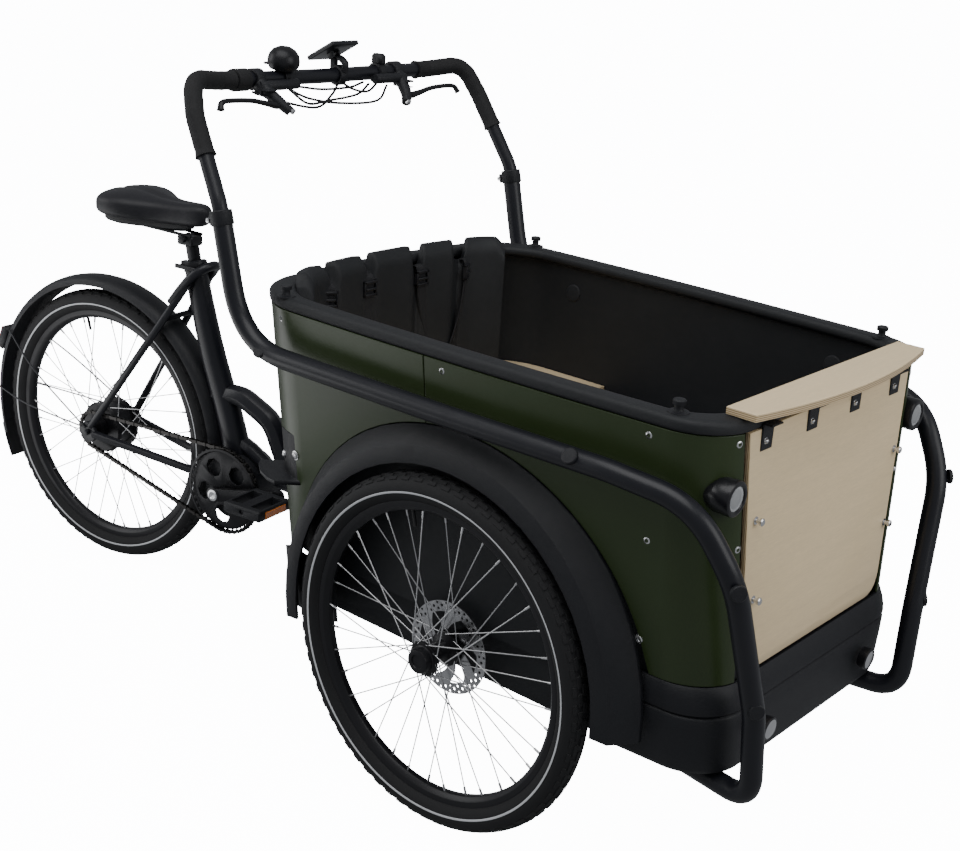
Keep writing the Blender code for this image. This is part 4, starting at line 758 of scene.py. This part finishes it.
panelScrews = [(17.0, 0.766), (20.35, 0.574), (19.75, 0.416), (12.35, 0.768), (8.25, 0.768), (3.15, 0.770),
               (8.25, 0.608), (2.95, 0.610), (8.35, 0.446)]
stepBolts = [(18.0, 0.512), (16.6, 0.526)]
for side, word in ((-1, "right"), (1, "left")):
    build(f"panelScrews_{word}", joined([screw(*onPanel(s, z, side, 0.0002)) for s, z in panelScrews]),
          screwLook, "cargo_box", 30)
    build(f"stepBolts_{word}", joined([screw(*onPanel(s, z, side, 0.0045)) for s, z in stepBolts]), screwLook,
          "cargo_box", 30)
    plugs = []
    for place, axis in (((-0.398, side * 0.3745, 0.7120), (0.1, side, 0.55)),
                        ((0.245, side * 0.3655, 0.712), (0.05, side, 0.65)),
                        ((0.503, side * 0.326, 0.590), (0.9, side * 0.75, 0.1)),
                        ((0.522, side * 0.262, 0.390), (0.9, side * 0.75, 0.1))):
        axis = unit(axis)
        plugs.append(lathe([(0.0125, 0.0140), (0.0125, 0.0185), (0.0110, 0.0200), (0.0, 0.0204)],
                           onBox(place), axis, 24))
    build(f"railPlugs_{word}", joined(plugs), plasticLook, "cargo_box", 30)
    pegs = []
    for x, y in ((0.3695, 0.310), (-0.396, 0.337)):
        at = onBox([x, side * (y - 0.004), 0.8045])
        pegs.append(lathe([(0.016, 0.0), (0.0155, 0.002), (0.0075, 0.0028), (0.0065, 0.0050),
                           (0.0065, 0.0120), (0.0095, 0.0125), (0.0098, 0.0180), (0.0085, 0.0196),
                           (0.0, 0.0198)], at, (0, 0, 1), 24))
    build(f"rimPegs_{word}", joined(pegs), plasticLook, "cargo_box", 30)
    bosses = []
    for s, z in ((15.25, 0.734), (8.75, 0.734)):
        p = planAt(s, z, 0.0125, side)
        bosses.append(lathe([(0.0170, -0.001), (0.0165, 0.0010), (0.0150, 0.0022), (0.0110, 0.0026),
                             (0.0, 0.0027)], onBox(p), (0, -side, 0.07), 32))
    build(f"wallBosses_{word}", joined(bosses), tubLook, "cargo_box", 30)
boardBolts, brackets, bracketScrews = [], [], []
lean = tan(radians(box["frontLean"]))
boardX = lambda z: box["front"] + 0.0050 + (box["rim"] - z) * lean
for y, z in ((-0.212, 0.646), (-0.200, 0.520), (0.222, 0.652), (0.216, 0.526)):
    boardBolts.append(lathe([(0.0062, 0.0), (0.0062, 0.0012), (0.0032, 0.0014), (0.0032, 0.0080),
                             (0.0058, 0.0084), (0.0060, 0.0120), (0.0045, 0.0132), (0.0, 0.0134)],
                            onBox([boardX(z), y, z]), (1, 0, lean), 20))
for y in (-0.202, -0.070, 0.064, 0.196):
    z = 0.7830
    x = boardX(z)
    brackets.append(block(onBox([x + 0.0002, y - 0.015, 0.7500]), onBox([x + 0.0034, y + 0.015, 0.7925]),
                          0.001))
    brackets.append(block(onBox([x + 0.0002, y - 0.015, 0.7895]), onBox([x + 0.0170, y + 0.015, 0.7925]),
                          0.001))
    bracketScrews.append(screw(onBox([x + 0.0034, y - 0.006, 0.765]), np.array([1, 0, 0]), 0.0040))
build("boardBolts", joined(boardBolts), screwLook, "cargo_box", 30)
build("shelfBrackets", joined(brackets), plasticLook, "cargo_box", 30)
build("bracketScrews", joined(bracketScrews), screwLook, "cargo_box", 30)

print("handlebar controls and cables")
for side, word in ((-1, "right"), (1, "left")):
    at = barAt(side * 0.182)
    pivot = at + np.array([0.050, 0, -0.036])
    # lever blade: from the pivot outward, bowed forward, ending in a small hook
    blade = curveThrough([pivot + [0.002, -side * 0.010, -0.004], pivot + [0.004, side * 0.018, 0.002],
                          pivot + [0.002, side * 0.050, 0.008], pivot + [0.000, side * 0.095, 0.010],
                          pivot + [0.003, side * 0.116, 0.008], pivot + [0.008, side * 0.123, -0.003]], 10)
    along = np.linspace(0, 1, len(blade))
    thick = 0.0060 + 0.0024 * np.exp(-(along / 0.18) ** 2) + 0.0012 * np.exp(-((along - 1) / 0.05) ** 2)
    build(f"brakeBlade_{word}", sweep(onBox(blade), thick, 16, flat=0.75, hint=(0, 0, 1)), darkAlloyLook,
          f"brake_lever_{word}", 60, [f"brake_lever_{word}"])
    body = curveThrough([at + [0.012, -side * 0.004, -0.006], at + [0.032, -side * 0.010, -0.021],
                         at + [0.052, -side * 0.020, -0.037], at + [0.064, -side * 0.032, -0.050]], 8)
    build(f"brakeBody_{word}", sweep(onBox(body), np.linspace(0.0130, 0.0090, len(body)), 20), plasticLook,
          "handlebar", 60)
    bolt = lathe([(0.0, 0.0062), (0.0045, 0.0058), (0.0050, -0.001)],
                 onBox(body[-1]) + np.array([0.004, 0, 0.0]), (0.7, 0, 0.7), 16)
    build(f"brakeBolt_{word}", bolt, screwLook, "handlebar", 30)
leftControl = [lathe([(0.0145, -0.009), (0.0195, -0.0075), (0.0200, 0.0), (0.0195, 0.0075), (0.0145, 0.009)],
                     onBox(barAt(0.135)), (0, 1, 0), 32),
               block(onBox(barAt(0.135) + [-0.012, -0.010, 0.014]),
                     onBox(barAt(0.135) + [0.016, 0.010, 0.036]), 0.005)]
build("leftControl", joined(leftControl), plasticLook, "handlebar", 40)
bellBase = barAt(-0.110)
bellShape = lathe([(0.0, 0.0130), (0.014, 0.0133), (0.0245, 0.0160), (0.0292, 0.0245), (0.0296, 0.0330),
                   (0.0270, 0.0430), (0.0205, 0.0510), (0.0110, 0.0560), (0.0, 0.0574)], onBox(bellBase),
                  (0.10, 0, 1), 48)
bellRing = lathe([(0.0148, -0.006), (0.0180, -0.006), (0.0185, 0.0), (0.0180, 0.006), (0.0148, 0.006)],
                 onBox(bellBase), (0, 1, 0), 32)
build("bellDome", joined([bellShape, bellRing]), darkAlloyLook, "handlebar", 40, ["bell"])
# the screen's arm, curving up from the bar
arm = curveThrough([barAt(0.035) + [0.016, 0, 0.008], barAt(0.035) + [0.018, 0, 0.022],
                    barAt(0.035) + [0.010, 0, 0.029], barAt(0.035) + [0.003, 0, 0.032]], 8)
build("displayArm", sweep(onBox(arm), 0.0075, 16, flat=0.8), plasticLook, "handlebar", 60)
cableRoutes = [
    [(0.036, -0.125, -0.016), (0.050, -0.090, -0.040), (0.034, -0.020, -0.040), (0.026, 0.060, -0.034),
     (0.004, 0.110, -0.020)],
    [(0.034, 0.128, -0.020), (0.052, 0.085, -0.044), (0.036, 0.010, -0.046), (0.022, -0.060, -0.036),
     (0.004, -0.100, -0.018)],
    [(0.012, -0.195, -0.020), (0.030, -0.150, -0.034), (0.040, -0.060, -0.050), (0.022, 0.000, -0.032),
     (0.006, 0.030, -0.014)],
    [(0.010, 0.132, -0.012), (0.024, 0.090, -0.030), (0.026, 0.050, -0.024), (0.008, 0.036, -0.012)],
    [(0.004, -0.075, -0.016), (0.014, -0.020, -0.022), (0.014, 0.050, -0.022), (0.004, 0.095, -0.016)]]
for k, route in enumerate(cableRoutes):
    path = curveThrough([barAt(y) + [x, 0, z] for x, y, z in route], 12)
    build(f"barCable_{k}", sweep(onBox(path), 0.0024, 10), cableLook, "handlebar", 60)

print("rear details")
seatTube = curveThrough([(-0.834, 0, 0.318), (-0.858, 0, 0.400), (-0.904, 0, 0.520), (-0.935, 0, 0.620),
                         (-0.9595, 0, 0.716)], 8)
seatRadii = np.linspace(0.0265, 0.0205, len(seatTube))
build("seatTube", sweep(onRear(seatTube), seatRadii, 32, flat=1.22, hint=(1, 0, 0)), frameLook,
      "rear_frame", 50, ["seat_tube"])
hoop = [(-0.990, -0.035, 0.628), (-0.962, -0.033, 0.664), (-0.935, -0.030, 0.694), (-0.917, -0.018, 0.709),
        (-0.912, 0, 0.713)]
hoop = curveThrough(hoop + [(x, -y, z) for x, y, z in hoop[::-1][1:]], 8)
build("seatHoop", sweep(onRear(hoop), 0.0095, 16), frameLook, "rear_frame", 60)
under = [(-1.1706, 0.0320), (-1.1580, 0.0528), (-1.1286, 0.0576), (-1.0866, 0.0448), (-1.0446, 0.0272),
         (-0.9942, 0.0176), (-0.9690, 0.0096)]
under = np.array(under + [(x, -y) for x, y in under[::-1]])
middleUnder = np.array([-1.10, 0.0])
rows = [onRear(np.column_stack([middleUnder + (under - middleUnder) * share, np.full(len(under), z)]))
        for share, z in ((0.55, 0.7705), (0.80, 0.7712), (0.92, 0.7740), (1.0, 0.7800), (1.0, 0.7880))]
build("saddleBase", gridShape(np.array(rows), wrapV=True, capU=True), plasticLook, "seat_post", 40)
axle = np.array([rearAxleX, 0, wheelRadius])
aroundAxle = lambda r, degrees, y: axle + np.array([r * cos(radians(degrees)), y, r * sin(radians(degrees))])
fenderOuter = [(0.3150, 0.0315), (0.3230, 0.0305), (0.3305, 0.0245), (0.3345, 0.0130), (0.3358, 0.0)]
fenderInner = [(0.3152, -0.0300), (0.3225, -0.0288), (0.3290, -0.0232), (0.3328, -0.0125), (0.3340, 0.0)]
fenderSection = bothHalves(fenderOuter) + bothHalves(fenderInner)
rows = [[aroundAxle(r, d, y) for r, y in fenderSection] for d in np.linspace(6, 196, 120)]
tail = block((0.3350, -0.024, -0.028), (0.3560, 0.024, 0.028), 0.004)
lens = block((0.3555, -0.020, -0.023), (0.3605, 0.020, 0.023), 0.0022)
tailAngle = radians(157)
tailAxes = np.array([[cos(tailAngle), 0, sin(tailAngle)], [0, 1, 0], [sin(tailAngle), 0, -cos(tailAngle)]])
put = lambda shape: (onRear(axle + shape[0] @ tailAxes), shape[1])
build("rearFender", joined([gridShape(onRear(np.array(rows)), wrapV=True, capU=True), put(tail)]),
      plasticLook, "rear_frame", 50, ["rear_fender"])
build("tailLens", put(lens), redLook, "rear_frame", 40)
flap = [[aroundAxle(r, d, y) for r, y in ((0.3315, -0.026), (0.3335, 0.0), (0.3315, 0.026), (0.3295, 0.026),
                                          (0.3312, 0.0), (0.3295, -0.026))]
        for d in np.linspace(192, 206, 10)]
build("mudFlap", gridShape(onRear(np.array(flap)), wrapV=True, capU=True), tyreLook, "rear_frame", 50)
stays = []
for side in (-1, 1):
    for d in (176, 150):
        ends = [(-1.207, side * 0.0735, 0.312), aroundAxle(0.20, d, side * 0.060),
                aroundAxle(0.326, d, side * 0.0325)]
        stays.append(sweep(onRear(curveThrough(ends, 6)), 0.0018, 8))
build("fenderStays", joined(stays), frameLook, "rear_frame", 60)
# chain: outer and inner plates on pins along the loop's centreline
bracketAt, chainY, linkPitch = np.array([-0.828, 0, 0.262]), -0.050, 0.0127
ringRadius, cogRadius = 0.0902, 0.0402
onSprocket = lambda centre, radius, a: centre + radius * np.array([cos(a), 0, sin(a)])
apart = bracketAt - axle
distance, heading = math.hypot(apart[0], apart[2]), math.atan2(apart[2], apart[0])
tangentAngle = math.acos((cogRadius - ringRadius) / distance)
ringSpan = np.linspace(heading + tangentAngle, heading - tangentAngle, 60)
cogSpan = np.linspace(heading - tangentAngle, heading + tangentAngle - 2 * pi, 40)
loop = [onSprocket(bracketAt, ringRadius, a) for a in ringSpan]
loop += [onSprocket(axle, cogRadius, a) for a in cogSpan]
loop = np.array(loop + [loop[0]])
run = np.r_[0, np.cumsum(np.linalg.norm(np.diff(loop, axis=0), axis=1))]
links = int(round(run[-1] / linkPitch / 2)) * 2
steps = np.linspace(0, run[-1], links, endpoint=False)
pins = np.stack([np.interp(steps, run, loop[:, k]) for k in range(3)], -1)
plateOutline = bothHalves([(-0.0035, -0.0026), (-0.001, -0.0042), (0.0025, -0.0030), (0.0102, -0.0030),
                           (0.0137, -0.0042), (0.0162, -0.0026)])
chainAside = np.array([0, chainY, 0])
pieces = []
for k in range(links):
    a, b = pins[k], pins[(k + 1) % links]
    along = unit(b - a)
    up = np.cross(along, [0, 1, 0])
    turn = np.stack([along, [0, 1, 0], up], -1)
    wide = 0.0036 if k % 2 else 0.0024
    for s in (-1, 1):
        plate = np.array([[(x, s * wide + t, z) for x, z in plateOutline] for t in (-0.0005, 0.0005)])
        pieces.append(moved(gridShape(plate, wrapV=True, capU=True), turn, a + chainAside))
    pieces.append(sweep([a + [0, chainY - 0.0042, 0], a + [0, chainY + 0.0042, 0]], 0.0030, 8,
                        hint=(1, 0, 0)))
shape = joined(pieces)
build("chainLinks", rearShape(shape), chainLook, "rear_frame", 40, ["chain"])
# chainring teeth and the guard outside it, crank bolts, pedal reflectors
tooth = block((0.0835, -0.0011, -0.0026), (0.0935, 0.0011, 0.0026), 0.0008)
teeth = []
for k in range(44):
    a = 2 * pi * k / 44
    turn = np.stack([[cos(a), 0, sin(a)], [0, 1, 0], [-sin(a), 0, cos(a)]], -1)
    teeth.append(moved(tooth, turn, bracketAt + chainAside))
shape = joined(teeth + [lathe([(0.0860, 0.0062), (0.0900, 0.0060), (0.0905, 0.0072), (0.0860, 0.0078)],
                              bracketAt + chainAside, (0, -1, 0), 72, closed=True)])
build("chainringTeeth", rearShape(shape), darkAlloyLook, "crankset", 40)
crank = {"angle": 14, "length": 0.170, "boltOut": 0.086, "pedalOut": 0.140}
for side, word in ((-1, "right"), (1, "left")):
    shape = lathe([(0.0125, -0.001), (0.0120, 0.0012), (0.0080, 0.0016), (0.0070, 0.0004), (0.0, 0.0)],
                  bracketAt + [0, side * crank["boltOut"], 0], (0, side, 0), 28)
    build(f"crankBolt_{word}", rearShape(shape), screwLook, "crankset", 30)
    a = radians(crank["angle"] if side < 0 else crank["angle"] + 180)
    end = bracketAt + crank["length"] * np.array([cos(a), 0, sin(a)])
    reflectorHalf = np.array([0.0012, 0.030, 0.0068])
    reflectors = []
    for s in (-1, 1):
        middle = end + [s * 0.0462, side * crank["pedalOut"], 0]
        reflectors.append(block(middle - reflectorHalf, middle + reflectorHalf, 0.0008))
    shape = joined(reflectors)
    build(f"pedalReflectors_{word}", rearShape(shape), orangeLook, f"pedal_{word}", 30)

print("stage")
cameraValues = {"place": (1.9040, -2.0016, 1.4596), "azimuth": 39.34, "elevation": 19.429, "roll": 4.088,
                "lens": 56.5185, "sensor": 36}
az, el, roll = (radians(cameraValues[k]) for k in ("azimuth", "elevation", "roll"))
behind = np.array([sin(az) * cos(el), -cos(az) * cos(el), sin(el)])
right = unit(np.cross([0, 0, 1], behind))
up = np.cross(behind, right)
rightRolled, upRolled = cos(roll) * right + sin(roll) * up, -sin(roll) * right + cos(roll) * up
cameraData = bpy.data.cameras.new("camera")
cameraData.sensor_width = cameraValues["sensor"]
cameraData.lens = cameraValues["lens"]
cameraObject = bpy.data.objects.new("camera", cameraData)
cameraAxes = np.stack([rightRolled, upRolled, behind], -1)
cameraRows = [[*row, at] for row, at in zip(cameraAxes, cameraValues["place"])]
cameraObject.matrix_world = Matrix(cameraRows + [[0, 0, 0, 1]])
bpy.context.scene.collection.objects.link(cameraObject)
bpy.context.scene.camera = cameraObject

world = bpy.data.worlds.new("studio")
world.use_nodes = True
sky = world.node_tree
lightPath = sky.nodes.new("ShaderNodeLightPath")
strength = sky.nodes.new("ShaderNodeMix")   # bright where it is seen, dimmer where it lights
strength.inputs[2].default_value, strength.inputs[3].default_value = 0.34, 22.0
sky.links.new(lightPath.outputs["Is Camera Ray"], strength.inputs[0])
sky.links.new(strength.outputs[0], sky.nodes["Background"].inputs["Strength"])
sky.nodes["Background"].inputs["Color"].default_value = (0.93, 0.96, 1.0, 1)
bpy.context.scene.world = world


def areaLight(name, place, target, size, power):
    data = bpy.data.lights.new(name, "AREA")
    data.shape, data.size, data.size_y, data.energy = "RECTANGLE", size[0], size[1], power
    lamp = bpy.data.objects.new(name, data)
    lamp.location = place
    lamp.rotation_euler = (Vector(target) - Vector(place)).to_track_quat("-Z", "Y").to_euler()
    bpy.context.scene.collection.objects.link(lamp)
    lamp.visible_camera = False


# a soft light from above, one from the rear right, one from the front, and a low card for the rear sheen
areaLight("keyLight", (0.5, -1.5, 4.0), (0, 0, 0.4), (4.0, 3.0), 110)
areaLight("sideLight", (-3.5, -2.5, 2.0), (0, 0, 0.5), (2.5, 2.5), 55)
areaLight("frontLight", (4.0, 0.5, 2.2), (0.4, 0, 0.5), (2.5, 2.5), 55)
areaLight("rearCard", (-2.0, -1.5, 0.03), (-2.0, -1.5, 1.03), (2.6, 2.2), 34)
floorMesh = bpy.data.meshes.new("floor")
floorMesh.from_pydata([(-30, -30, 0), (30, -30, 0), (30, 30, 0), (-30, 30, 0)], [], [(0, 1, 2, 3)])
floorLook = Look("floorPaper", None, (0.88, 0.885, 0.89), 0.8, vary=0.01, grain=(60, 0.02))
floorLook.set("Emission Color", (0.97, 0.98, 1.0, 1))
floorLook.set("Emission Strength", 14.0)
floorMesh.materials.append(floorLook.mat)
floor = bpy.data.objects.new("floor", floorMesh)
floor.visible_diffuse = floor.visible_glossy = False
bpy.context.scene.collection.objects.link(floor)
